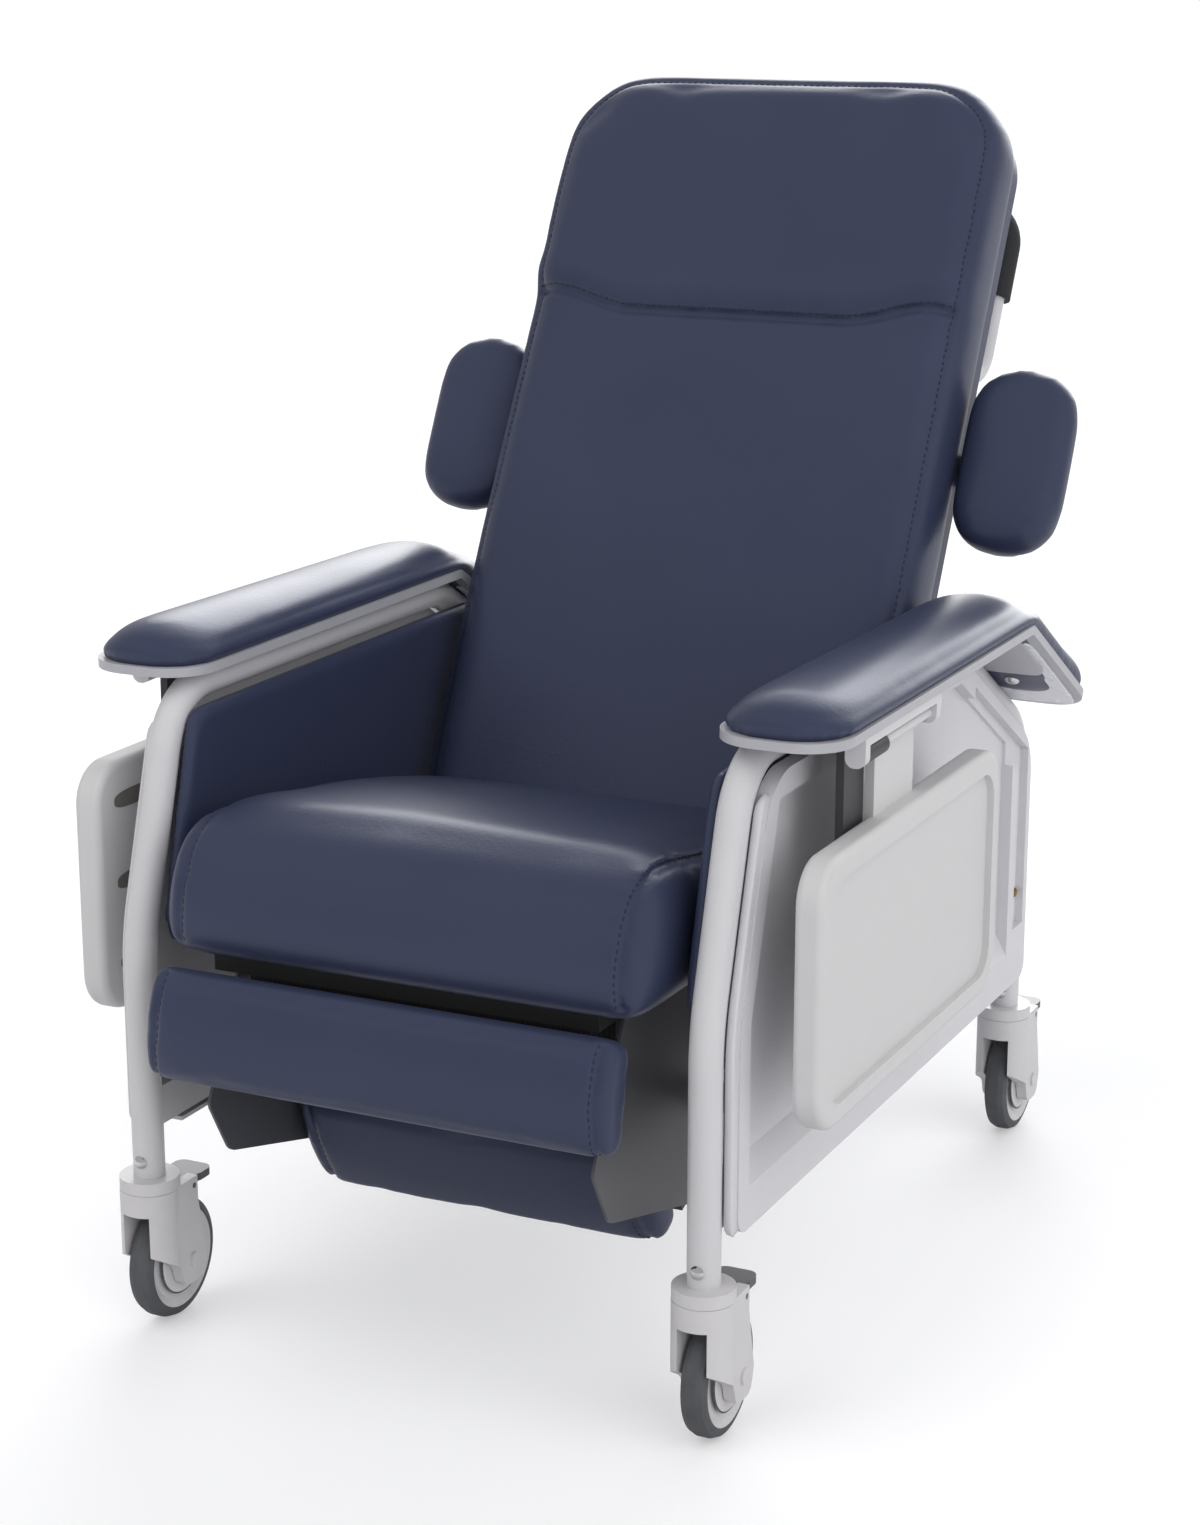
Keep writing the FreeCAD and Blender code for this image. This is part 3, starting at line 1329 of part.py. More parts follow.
# Casters: stem and collar on the leg, fork, axle, wheel and brake pedal
AXLE = "wheel_radius"
COLLAR_LOW = "leg_foot_height - collar_height"
FORK_TOP = COLLAR_LOW + " - running_gap"
SLOT = "fork_slot / 2"
PEDAL_HEIGHT = FORK_TOP + " - pedal_pivot_drop"


def caster_stem(name):
    """The plug in the leg tube, the collar under it and the pin that the fork turns on."""
    return fuse(
        name,
        rod(name + "_plug", "tube_radius - tube_wall - seat_gap", "stem_length", ("0", "0", "leg_foot_height"), "Z"),
        rod(name + "_collar", "collar_radius", "collar_height", ("0", "0", COLLAR_LOW), "Z"),
        rod(name + "_kingpin", "kingpin_radius", "kingpin_length", ("0", "0", COLLAR_LOW + " - kingpin_length"), "Z"),
    )


def caster_fork(name):
    """A moulded housing, round in front, that narrows to two cheeks at the axle and holds the pedal's pin."""
    FORK_REAR = "pedal_pivot_depth + 2 * pedal_pin_radius"
    profile = plate(
        name + "_profile", "YZ",
        (
            ("-collar_radius", FORK_TOP),
            ("-collar_radius", AXLE + " + hub_radius"),
            ("caster_trail - hub_radius", AXLE),
            ("caster_trail - hub_radius * fork_toe_share", AXLE + " - hub_radius"),
            ("caster_trail + hub_radius * fork_toe_share", AXLE + " - hub_radius"),
            ("caster_trail + hub_radius", AXLE),
            (FORK_REAR, PEDAL_HEIGHT + " - fork_crown"),
            (FORK_REAR, FORK_TOP),
        ),
        "2 * collar_radius", "-collar_radius",
        ((1, "hub_radius / 3"), (2, "hub_radius * fork_toe_share"), (3, "hub_radius * fork_round_share"), (4, "hub_radius * fork_round_share"), (5, "hub_radius * fork_toe_share")),
    )
    plan = plate(
        name + "_plan", "XY",
        (
            ("-collar_radius", "-collar_radius"),
            ("collar_radius", "-collar_radius"),
            ("collar_radius", "0"),
            ("fork_half_width", "caster_trail - hub_radius"),
            ("fork_half_width", "caster_trail + hub_radius"),
            ("-fork_half_width", "caster_trail + hub_radius"),
            ("-fork_half_width", "caster_trail - hub_radius"),
            ("-collar_radius", "0"),
        ),
        FORK_TOP, "0",
        ((0, "collar_radius * crown_round_share"), (1, "collar_radius * crown_round_share")),
    )
    housing = doc.addObject("Part::MultiCommon", name + "_housing")
    housing.Shapes = [profile, plan]
    return cut(
        name + "_bored", housing,
        box(name + "_wheel_room", (
            ("-(%s)" % SLOT, "fork_slot"),
            ("-collar_radius - cut_overrun", "2 * (collar_radius + caster_trail + hub_radius)"),
            ("0", FORK_TOP + " - fork_crown - kingpin_radius"),
        )),
        rod(name + "_king_bore", "kingpin_radius + pin_clearance", "kingpin_length + running_gap",
            ("0", "0", FORK_TOP + " - kingpin_length - running_gap"), "Z"),
        rod(name + "_axle_bore", "axle_radius + pin_clearance", "2 * fork_half_width + 2 * cut_overrun",
            ("-fork_half_width - cut_overrun", "caster_trail", AXLE), "X"),
        rod(name + "_pedal_bore", "pedal_pin_radius + pin_clearance", "2 * fork_half_width + 2 * cut_overrun",
            ("-fork_half_width - cut_overrun", "pedal_pivot_depth", PEDAL_HEIGHT), "X"),
        box(name + "_pedal_room", (
            ("-(%s)" % SLOT, "fork_slot"),
            ("pedal_pivot_depth - pedal_thickness", "collar_radius"),
            ("0", FORK_TOP),
        )),
    )


def caster_axle(name):
    """A plain axle with a low head at each end."""
    heads = [
        rod(name + "_head_" + end, "axle_head", "axle_head_thickness", (place, "caster_trail", AXLE), "X")
        for end, place in (("left", "fork_half_width"), ("right", "-fork_half_width - axle_head_thickness"))
    ]
    return fuse(name, rod(name + "_shaft", "axle_radius", "2 * fork_half_width",
                          ("-fork_half_width", "caster_trail", AXLE), "X"), *heads)


def turned(name, corners):
    """A body turned about the wheel's axle; corners are places along it and radii."""
    body = doc.addObject("PartDesign::Body", name)
    feature = body.newObject("PartDesign::Revolution", name + "_turn")
    sketch = outline(body, name + "_profile", "XY", corners)
    feature.Profile = sketch
    feature.ReferenceAxis = (sketch, ["H_Axis"])
    feature.Angle = 360
    bind(body, "Placement.Base.y", "caster_trail")
    bind(body, "Placement.Base.z", AXLE)
    doc.recompute()
    return body


def caster_core(name):
    """The moulded wheel centre, dished on both sides between hub and rim."""
    half = "wheel_width / 2"
    bore = "axle_radius + pin_clearance"
    rim = "wheel_radius - tyre_depth"
    dish = "wheel_width / 6"
    return turned(name, (
        ("-(%s)" % half, bore), ("%s" % half, bore),
        (half, "hub_radius"), (half + " - " + dish, "hub_radius + tyre_round"),
        (half + " - " + dish, rim + " - tyre_round"), (half, rim),
        ("-(%s)" % half, rim), ("-(%s) + %s" % (half, dish), rim + " - tyre_round"),
        ("-(%s) + %s" % (half, dish), "hub_radius + tyre_round"), ("-(%s)" % half, "hub_radius"),
    ))


def caster_tyre(name):
    """The soft tread round the wheel centre, rounded at both shoulders."""
    half = "wheel_width / 2"
    low = "wheel_radius - tyre_depth + seat_gap"
    return turned(name, (
        ("-(%s)" % half, low), (half, low),
        (half, "wheel_radius - tyre_round"), (half + " - tyre_round * tyre_shoulder_share", "wheel_radius - tyre_round * tyre_shoulder_share"),
        (half + " - tyre_round", "wheel_radius"),
        ("-(%s) + tyre_round" % half, "wheel_radius"),
        ("-(%s) + tyre_round * tyre_shoulder_share" % half, "wheel_radius - tyre_round * tyre_shoulder_share"),
        ("-(%s)" % half, "wheel_radius - tyre_round"),
    ))


def caster_pedal(name):
    """A tread plate that turns on its own pin in the fork's ears."""
    tread_low = PEDAL_HEIGHT + " - pedal_thickness / 2"
    neck = plate(
        name + "_neck", "XY",
        (
            ("-(%s) + running_gap" % SLOT, "pedal_pivot_depth - pedal_thickness / 2"),
            ("%s - running_gap" % SLOT, "pedal_pivot_depth - pedal_thickness / 2"),
            ("%s - running_gap" % SLOT, "pedal_pivot_depth + 2 * pedal_pin_radius + running_gap"),
            ("pedal_half_width", "pedal_pivot_depth + pedal_length / 2"),
            ("pedal_half_width", "pedal_pivot_depth + pedal_length"),
            ("-pedal_half_width", "pedal_pivot_depth + pedal_length"),
            ("-pedal_half_width", "pedal_pivot_depth + pedal_length / 2"),
            ("-(%s) + running_gap" % SLOT, "pedal_pivot_depth + 2 * pedal_pin_radius + running_gap"),
        ),
        "pedal_thickness", tread_low,
        ((4, "pedal_half_width / 2"), (5, "pedal_half_width / 2")),
    )
    return fuse(name, neck, rod(name + "_pin", "pedal_pin_radius", "2 * fork_half_width",
                                ("-fork_half_width", "pedal_pivot_depth", PEDAL_HEIGHT), "X"))


CORNERS = (
    ("front_left", LEG, "0"),
    ("front_right", "-" + LEG, "0"),
    ("rear_left", LEG, "wheelbase"),
    ("rear_right", "-" + LEG, "wheelbase"),
)
CASTER_PIECES = (
    ("caster_fork", caster_fork("fork")),
    ("caster_axle", caster_axle("axle")),
    ("wheel_core", caster_core("core")),
    ("wheel_tyre", caster_tyre("tyre")),
    ("brake_pedal", caster_pedal("pedal")),
)
stem = caster_stem("stem")


def moved(name, source, across, depth):
    """A copy of a caster piece under one leg."""
    copy = doc.addObject("Part::Compound", name)
    copy.Links = [source]
    bind(copy, "Placement.Base.x", across)
    bind(copy, "Placement.Base.y", depth)
    return copy


stems = []
for place, across, depth in CORNERS:
    stems.append(moved("stem_" + place, stem, across, depth))
    for piece_name, source in CASTER_PIECES:
        node("%s_%s" % (piece_name, place), FLOOR,
             moved("%s_%s_copy" % (piece_name, place), source, across, depth))
node("caster_stems", FLOOR, *stems)

# Leg bolts: a low domed head on the front of each leg above its caster
bolt = doc.addObject("Part::Sphere", "bolt_dome")
dome_radius = "(bolt_radius^2 + bolt_dome^2) / (2 * bolt_dome)"
bind(bolt, "Radius", dome_radius)
bind(bolt, "Placement.Base.y", "-tube_radius - bolt_dome + %s" % dome_radius)
bind(bolt, "Placement.Base.z", "bolt_height")
bolt_head = cut("bolt_head", bolt, rod(
    "bolt_seat", "tube_radius + seat_gap", "4 * collar_radius", ("0", "0", "bolt_height - 2 * collar_radius"), "Z"))
bolt_cap = doc.addObject("Part::MultiCommon", "bolt_cap")
bolt_cap.Shapes = [bolt_head, rod(
    "bolt_rim", "bolt_radius", "tube_radius", ("0", "-2 * tube_radius", "bolt_height"), "Y")]
node("leg_bolts", FLOOR, *[
    moved("bolt_" + place, bolt_cap, across, depth) for place, across, depth in CORNERS
])

doc.recompute()

failed = [item.Name for item in doc.Objects if "Invalid" in item.State or "Error" in item.State]
if failed:
    raise RuntimeError("not built: " + ", ".join(failed))
os.makedirs("parts", exist_ok=True)
for piece in nodes:
    if piece.Shape.isNull() or not piece.Shape.isValid():
        raise RuntimeError(piece.Label + " is not a valid shape")
for piece in nodes:
    piece.Shape.exportStep("parts/%s.step" % piece.Label)
print(len(nodes), "pieces written")
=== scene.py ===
import math

import bmesh
import bpy
import numpy as np
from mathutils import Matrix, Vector
from mathutils.bvhtree import BVHTree


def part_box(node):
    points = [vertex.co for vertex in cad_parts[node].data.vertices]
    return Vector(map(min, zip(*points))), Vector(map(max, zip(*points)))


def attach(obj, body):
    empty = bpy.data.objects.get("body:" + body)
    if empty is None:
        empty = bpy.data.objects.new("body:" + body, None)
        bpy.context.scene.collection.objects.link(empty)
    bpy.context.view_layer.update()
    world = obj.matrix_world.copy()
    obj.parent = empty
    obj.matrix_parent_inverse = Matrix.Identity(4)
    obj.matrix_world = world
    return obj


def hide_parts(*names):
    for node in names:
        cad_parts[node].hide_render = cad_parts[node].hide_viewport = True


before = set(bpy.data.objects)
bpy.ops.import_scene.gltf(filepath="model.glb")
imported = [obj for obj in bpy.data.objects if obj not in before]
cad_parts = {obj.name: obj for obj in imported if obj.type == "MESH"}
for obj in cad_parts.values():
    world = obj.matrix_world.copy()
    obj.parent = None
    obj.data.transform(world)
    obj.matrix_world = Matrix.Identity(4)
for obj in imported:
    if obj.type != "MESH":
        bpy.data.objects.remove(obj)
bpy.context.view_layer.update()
scene = bpy.context.scene
scene.view_settings.view_transform = "Standard"


# Studio: a wide sheet of white paper under an even sky, with a softbox behind the chair.
# A key lamp stands at the front left and a broad fill at the right.
# The paper glows a little for the camera alone, so that it reads as white.
def linear(code):
    """An sRGB hex colour as linear light: the sRGB curve undone channel by channel."""
    values = np.array([int(code[place:place + 2], 16) for place in (1, 3, 5)]) / 255
    light = np.where(values <= 0.04045, values / 12.92, ((values + 0.055) / 1.055) ** 2.4)
    return (*light.tolist(), 1.0)


def add(tree, kind, inputs=(), **settings):
    """Adds one node, gives it its settings, and sets or links each named or numbered input."""
    made = tree.nodes.new(kind)
    for name, value in settings.items():
        setattr(made, name, value)
    for name, value in dict(inputs).items():
        if isinstance(value, bpy.types.NodeSocket):
            tree.links.new(value, made.inputs[name])
        else:
            made.inputs[name].default_value = value
    return made


def material(name):
    """An empty node material, ready for a shader."""
    made = bpy.data.materials.new(name)
    made.use_nodes = True
    made.node_tree.nodes.clear()
    return made, made.node_tree


paper, tree = material("white_studio_paper")
ray = add(tree, "ShaderNodeLightPath")
lift = add(tree, "ShaderNodeMath", {0: ray.outputs["Is Camera Ray"], 1: 0.34}, operation="MULTIPLY")
glow = add(tree, "ShaderNodeEmission", {"Color": linear("#FFFFFF"), "Strength": lift.outputs[0]})
matt = add(tree, "ShaderNodeBsdfDiffuse", {"Color": linear("#DADADC")})
both = add(tree, "ShaderNodeAddShader", {0: glow.outputs[0], 1: matt.outputs[0]})
add(tree, "ShaderNodeOutputMaterial", {"Surface": both.outputs[0]})
reach = 60.0
square = [(-reach, -reach, 0), (reach, -reach, 0), (reach, reach, 0), (-reach, reach, 0)]
mesh = bpy.data.meshes.new("studio_floor")
mesh.from_pydata(square, [], [(0, 1, 2, 3)])
mesh.materials.append(paper)
floor = bpy.data.objects.new("studio_floor", mesh)
scene.collection.objects.link(floor)

world = bpy.data.worlds.new("studio")
scene.world = world
world.use_nodes = True
tree = world.node_tree
tree.nodes.clear()
ray = add(tree, "ShaderNodeLightPath")
plain = add(tree, "ShaderNodeMath", operation="MAXIMUM", inputs={
    0: ray.outputs["Is Camera Ray"], 1: ray.outputs["Is Transmission Ray"]})
heading = add(tree, "ShaderNodeTexCoord")
softbox_heading = (-0.18, 0.91, 0.37)
toward = add(tree, "ShaderNodeVectorMath", operation="DOT_PRODUCT", inputs={
    0: heading.outputs["Generated"], 1: softbox_heading})
softbox = add(tree, "ShaderNodeMapRange", interpolation_type="SMOOTHSTEP", inputs={
    "Value": toward.outputs["Value"], "From Min": 0.84, "From Max": 0.98, "To Min": 0.47, "To Max": 5.2})
level = add(tree, "ShaderNodeMix", {"Factor": plain.outputs[0], "A": softbox.outputs[0], "B": 1.0})
sky = add(tree, "ShaderNodeBackground", {"Color": linear("#FFFFFF"), "Strength": level.outputs["Result"]})
add(tree, "ShaderNodeOutputWorld", {"Surface": sky.outputs[0]})

for name, strength, spread, tilt, turn in (
    ("key_light", 0.75, 50, 42, -38),
    ("fill_light", 1.3, 70, 62, 70),
):
    lamp = bpy.data.lights.new(name, "SUN")
    lamp.energy = strength
    lamp.angle = math.radians(spread)
    light = bpy.data.objects.new(name, lamp)
    light.rotation_euler = (math.radians(tilt), 0, math.radians(turn))
    light.visible_glossy = False
    scene.collection.objects.link(light)

# Camera: as far off and as high as the photograph's viewpoint, level from side to side.
# The shift keeps the chair where the photograph's frame has it.
camera = bpy.data.cameras.new("camera")
camera.sensor_width = 36.0
camera.lens = 72.4
camera.shift_y = 0.0154
eye = bpy.data.objects.new("camera", camera)
eye.location = (1.337, -2.835, 1.344)
eye.rotation_euler = (math.radians(90 - 15.37), 0, math.radians(25.75))
scene.collection.objects.link(eye)
scene.camera = eye


# Side frames, rails, cross tubes, push handle and the trays' hinge brackets: steel, bent and welded,
# then powder coated in a light warm grey. The coat is glossy with the faint ripple of flowed powder,
# about 3 mm from crest to crest.
def dress(finish, *names):
    """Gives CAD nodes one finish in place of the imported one."""
    for name in names:
        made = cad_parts[name]
        made.data.materials.clear()
        made.data.materials.append(finish)


SIDES = (("left", 1), ("right", -1))
powder_coat, tree = material("powder_coat_warm_grey")
place = add(tree, "ShaderNodeTexCoord")
ripple = add(tree, "ShaderNodeTexNoise", {
    "Vector": place.outputs["Object"], "Scale": 330.0, "Detail": 1.0})
dust = add(tree, "ShaderNodeTexNoise", {"Vector": place.outputs["Object"], "Scale": 14.0, "Detail": 4.0})
tone = add(tree, "ShaderNodeMix", data_type="RGBA", inputs={
    "Factor": dust.outputs["Fac"], "A": linear("#CDCCCF"), "B": linear("#D3D2D5")})
gloss = add(tree, "ShaderNodeMapRange", {"Value": dust.outputs["Fac"], "To Min": 0.26, "To Max": 0.31})
relief = add(tree, "ShaderNodeBump", {
    "Height": ripple.outputs["Fac"], "Strength": 0.06, "Distance": 0.0006})
shader = add(tree, "ShaderNodeBsdfPrincipled", {
    "Base Color": tone.outputs["Result"], "Roughness": gloss.outputs[0],
    "Normal": relief.outputs[0], "IOR": 1.5})
add(tree, "ShaderNodeOutputMaterial", {"Surface": shader.outputs[0]})
dress(powder_coat, "side_frame_left", "side_frame_right", "base_rails", "cross_tubes", "push_handle",
      "tray_hinge_brackets")

# Side panels: vacuum-formed sheet in a cool light grey with a fine haircell texture, about 2 mm,
# drawn coarser than life so that it shows. It scatters highlights into a soft sheen.
haircell, tree = material("formed_sheet_haircell")
place = add(tree, "ShaderNodeTexCoord")
cells = add(tree, "ShaderNodeTexVoronoi", feature="SMOOTH_F1", inputs={
    "Vector": place.outputs["Object"], "Scale": 420.0})
cloud = add(tree, "ShaderNodeTexNoise", {"Vector": place.outputs["Object"], "Scale": 6.0, "Detail": 3.0})
tone = add(tree, "ShaderNodeMix", data_type="RGBA", inputs={
    "Factor": cloud.outputs["Fac"], "A": linear("#CFCED2"), "B": linear("#D8D7DB")})
relief = add(tree, "ShaderNodeBump", {
    "Height": cells.outputs["Distance"], "Strength": 0.22, "Distance": 0.0008})
shader = add(tree, "ShaderNodeBsdfPrincipled", {
    "Base Color": tone.outputs["Result"], "Roughness": 0.48, "Normal": relief.outputs[0], "IOR": 1.49})
add(tree, "ShaderNodeOutputMaterial", {"Surface": shader.outputs[0]})
dress(haircell, "side_panel_left", "side_panel_right")

# Armrest boards: moulded plastic trim in grey, half glossy, with slight sink marks about 40 mm apart.
# Under each drooping flap a white laminate liner is let in, and a plate and a chromed bolt tie the board
# to the rail. Those three are thin plates raised from an outline on the flap's underside.
moulded_trim, tree = material("moulded_trim_pale_grey")
place = add(tree, "ShaderNodeTexCoord")
sink = add(tree, "ShaderNodeTexNoise", {"Vector": place.outputs["Object"], "Scale": 25.0, "Detail": 2.0})
tone = add(tree, "ShaderNodeMix", data_type="RGBA", inputs={
    "Factor": sink.outputs["Fac"], "A": linear("#ABABB1"), "B": linear("#B6B6BC")})
relief = add(tree, "ShaderNodeBump", {"Height": sink.outputs["Fac"], "Strength": 0.1, "Distance": 0.001})
shader = add(tree, "ShaderNodeBsdfPrincipled", {
    "Base Color": tone.outputs["Result"], "Roughness": 0.36, "Normal": relief.outputs[0], "IOR": 1.49})
add(tree, "ShaderNodeOutputMaterial", {"Surface": shader.outputs[0]})
dress(moulded_trim, "armrest_base_left", "armrest_base_right")


def grid_mesh(name, grid):
    """A mesh from rows of points: quads between neighbours, each row closed into a ring."""
    rows = grid.shape[-3]
    cols = grid.shape[-2]
    sheets = grid.reshape(-1, rows, cols, 3)
    row, col = np.meshgrid(np.arange(rows - 1), np.arange(cols), indexing="ij")
    here = row * cols + col
    beside = row * cols + (col + 1) % cols
    quads = np.stack([here, beside, beside + cols, here + cols], axis=-1).reshape(-1, 4)
    faces = (quads[None] + (np.arange(len(sheets)) * rows * cols)[:, None, None]).reshape(-1, 4)
    mesh = bpy.data.meshes.new(name)
    mesh.from_pydata(sheets.reshape(-1, 3).tolist(), [], faces.tolist())
    shape = bmesh.new()
    shape.from_mesh(mesh)
    bmesh.ops.remove_doubles(shape, verts=shape.verts, dist=1e-6)
    bmesh.ops.recalc_face_normals(shape, faces=shape.faces)
    shape.to_mesh(mesh)
    shape.free()
    mesh.shade_smooth()
    made = bpy.data.objects.new(name, mesh)
    scene.collection.objects.link(made)
    return made


def slab(name, outlines, outs, edge, finish, body):
    """Plates with shaped edges: each outline is drawn to its middle by a share and lifted along its own
    direction by a share, row by row, from the hidden middle round the edge to the shown middle."""
    outlines = np.asarray(outlines, float)
    middle = outlines.mean(1)[:, None, None]
    shares = np.asarray(edge, float)[None, :, None, :]
    lift = np.asarray(outs, float)[:, None, None] * shares[..., 1:]
    made = grid_mesh(name, middle + (outlines[:, None] - middle) * shares[..., :1] + lift)
    made.data.materials.append(finish)
    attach(made, body)


def oblong(power, count=64):
    """A unit outline between a circle and a square: cosine and sine raised to two over the power."""
    turn = np.linspace(0, 2 * np.pi, count, endpoint=False)
    across = np.cos(turn)
    along = np.sin(turn)
    return np.sign(across) * np.abs(across) ** (2 / power), np.sign(along) * np.abs(along) ** (2 / power)


laminate, tree = material("white_laminate_sheet")
place = add(tree, "ShaderNodeTexCoord")
haze = add(tree, "ShaderNodeTexNoise", {"Vector": place.outputs["Object"], "Scale": 20.0, "Detail": 3.0})
tone = add(tree, "ShaderNodeMix", data_type="RGBA", inputs={
    "Factor": haze.outputs["Fac"], "A": linear("#DEDEE4"), "B": linear("#E6E6EC")})
gloss = add(tree, "ShaderNodeMapRange", {"Value": haze.outputs["Fac"], "To Min": 0.22, "To Max": 0.32})
shader = add(tree, "ShaderNodeBsdfPrincipled", {
    "Base Color": tone.outputs["Result"], "Roughness": gloss.outputs[0], "IOR": 1.5})
add(tree, "ShaderNodeOutputMaterial", {"Surface": shader.outputs[0]})

chrome, tree = material("chromed_steel")
place = add(tree, "ShaderNodeTexCoord")
haze = add(tree, "ShaderNodeTexNoise", {
    "Vector": place.outputs["Object"], "Scale": 300.0, "Detail": 2.0})
gloss = add(tree, "ShaderNodeMapRange", {"Value": haze.outputs["Fac"], "To Min": 0.06, "To Max": 0.14})
shader = add(tree, "ShaderNodeBsdfPrincipled", {
    "Base Color": linear("#D9DADB"), "Roughness": gloss.outputs[0], "Metallic": 1.0})
add(tree, "ShaderNodeOutputMaterial", {"Surface": shader.outputs[0]})

PLATE_EDGE = ((0, 0), (1, 0), (1, 0.6), (0.985, 1), (0.96, 1), (0, 1))
DOME_EDGE = ((0, 0), (1, 0), (1, 0.3), (0.94, 0.55), (0.8, 0.78), (0.55, 0.93), (0.25, 1), (0, 1))
flap_hinge = np.array([0, 0.141, 0.657])
flap_fall = math.radians(30.3)
down_flap = np.array([0, math.cos(flap_fall), -math.sin(flap_fall)])
under_flap = np.array([0, -math.sin(flap_fall), -math.cos(flap_fall)])


def on_flap(across, half_across, along, half_along, power, sign):
    """An oblong outline laid on a flap's underside, placed across the arm and down the flap."""
    u, v = oblong(power)
    side = np.outer(sign * (across + half_across * u), (1, 0, 0))
    return flap_hinge + side + np.outer(along + half_along * v, down_flap)


for side, sign in SIDES:
    liner = on_flap(across=0.3345, half_across=0.0525, along=0.132, half_along=0.108, power=9, sign=sign)
    plate = on_flap(across=0.340, half_across=0.040, along=0.072, half_along=0.062, power=5, sign=sign)
    bolt = on_flap(across=0.332, half_across=0.009, along=0.160, half_along=0.009, power=2, sign=sign)
    slab("flap_liner_" + side, [liner], [under_flap * 0.0022], PLATE_EDGE, laminate, "chassis")
    slab("flap_plate_" + side, [plate], [under_flap * 0.0046], PLATE_EDGE, moulded_trim, "chassis")
    slab("flap_bolt_" + side, [bolt], [under_flap * 0.0080], DOME_EDGE, chrome, "chassis")

# Panel lips: the panels' front edges, carried forward over the rear of each leg tube as a thin flange
# of the same formed sheet. Each is one section swept up the leg: upright, then a bend of 250 mm radius,
# then the lean of 16.6 degrees, and it tapers off at both ends.
LEG_SETBACK = 0.470
bend_foot = 0.3685
bend_height = 0.0714
bend_top = 0.440
bend_radius = 0.25
lean_foot = 0.405
lean_slope = math.tan(math.radians(16.6))
rise = np.linspace(0.207, 0.612, 80)
in_bend = np.clip(rise - bend_foot, 0, bend_height)
bent = bend_radius - np.sqrt(bend_radius ** 2 - in_bend ** 2)
leg_line = np.where(rise < bend_top, bent, (rise - lean_foot) * lean_slope)
lip_across = np.array([0.3180, 0.3180, 0.3185, 0.3250, 0.3262, 0.3265, 0.3265, 0.3250])
lip_depth = np.array([0.034, 0.006, 0.0045, 0.004, 0.0045, 0.006, 0.033, 0.034])
taper_length = 0.012
taper = np.clip(np.minimum(rise - rise[0], rise[-1] - rise) / taper_length, 0, 1) ** 0.5
across = lip_across.mean() + taper[:, None] * (lip_across - lip_across.mean())
inset = lip_depth.mean() + taper[:, None] * (lip_depth - lip_depth.mean())
depth = leg_line[:, None] - LEG_SETBACK + inset
height = np.broadcast_to(rise[:, None], depth.shape)
for side, sign in SIDES:
    lip = grid_mesh("panel_lip_" + side, np.stack([sign * across, depth, height], axis=-1))
    lip.data.materials.append(haircell)
    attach(lip, "chassis")

# Panel screws: one plated brass screw low in each panel's rear channel, tarnished in spots of 2 mm.
# Each is a shallow dome raised from a circle on the channel's floor.
brass, tree = material("plated_brass_screw")
place = add(tree, "ShaderNodeTexCoord")
tarnish = add(tree, "ShaderNodeTexNoise", {
    "Vector": place.outputs["Object"], "Scale": 500.0, "Detail": 3.0})
tone = add(tree, "ShaderNodeMix", data_type="RGBA", inputs={
    "Factor": tarnish.outputs["Fac"], "A": linear("#8C6A33"), "B": linear("#B8964F")})
shader = add(tree, "ShaderNodeBsdfPrincipled", {
    "Base Color": tone.outputs["Result"], "Roughness": 0.3, "Metallic": 1.0})
add(tree, "ShaderNodeOutputMaterial", {"Surface": shader.outputs[0]})
screw_across = 0.3189
screw_depth = 0.3530
screw_rise = 0.3085
screw_radius = 0.0055
u, v = oblong(2, 24)
for side, sign in SIDES:
    end = np.full(len(u), sign * screw_across)
    head = np.stack([end, screw_depth + screw_radius * u, screw_rise + screw_radius * v], axis=1)
    slab("panel_screw_" + side, [head], [(sign * 0.003, 0, 0)], DOME_EDGE, brass, "chassis")

# Trays: blow-moulded polyethylene in warm white, waxy, with a faint 25 mm mottle in its gloss and a skin
# of fine pits, drawn at 1.4 mm so that they show. The shade in three pockets in each tray's rear face is
# painted: thin dark oblong plates in a shaded copy of the polyethylene.
polyethylene, tree = material("polyethylene_warm_white")
place = add(tree, "ShaderNodeTexCoord")
mottle = add(tree, "ShaderNodeTexNoise", {
    "Vector": place.outputs["Object"], "Scale": 40.0, "Detail": 3.0})
skin = add(tree, "ShaderNodeTexNoise", {
    "Vector": place.outputs["Object"], "Scale": 700.0, "Detail": 1.0})
tone = add(tree, "ShaderNodeMix", data_type="RGBA", inputs={
    "Factor": mottle.outputs["Fac"], "A": linear("#CECDCE"), "B": linear("#D1D0D1")})
gloss = add(tree, "ShaderNodeMapRange", {"Value": mottle.outputs["Fac"], "To Min": 0.60, "To Max": 0.64})
relief = add(tree, "ShaderNodeBump", {
    "Height": skin.outputs["Fac"], "Strength": 0.08, "Distance": 0.0004})
shader = add(tree, "ShaderNodeBsdfPrincipled", {
    "Base Color": tone.outputs["Result"], "Roughness": gloss.outputs[0],
    "Normal": relief.outputs[0], "IOR": 1.51})
add(tree, "ShaderNodeOutputMaterial", {"Surface": shader.outputs[0]})
dress(polyethylene, "tray_left", "tray_right")
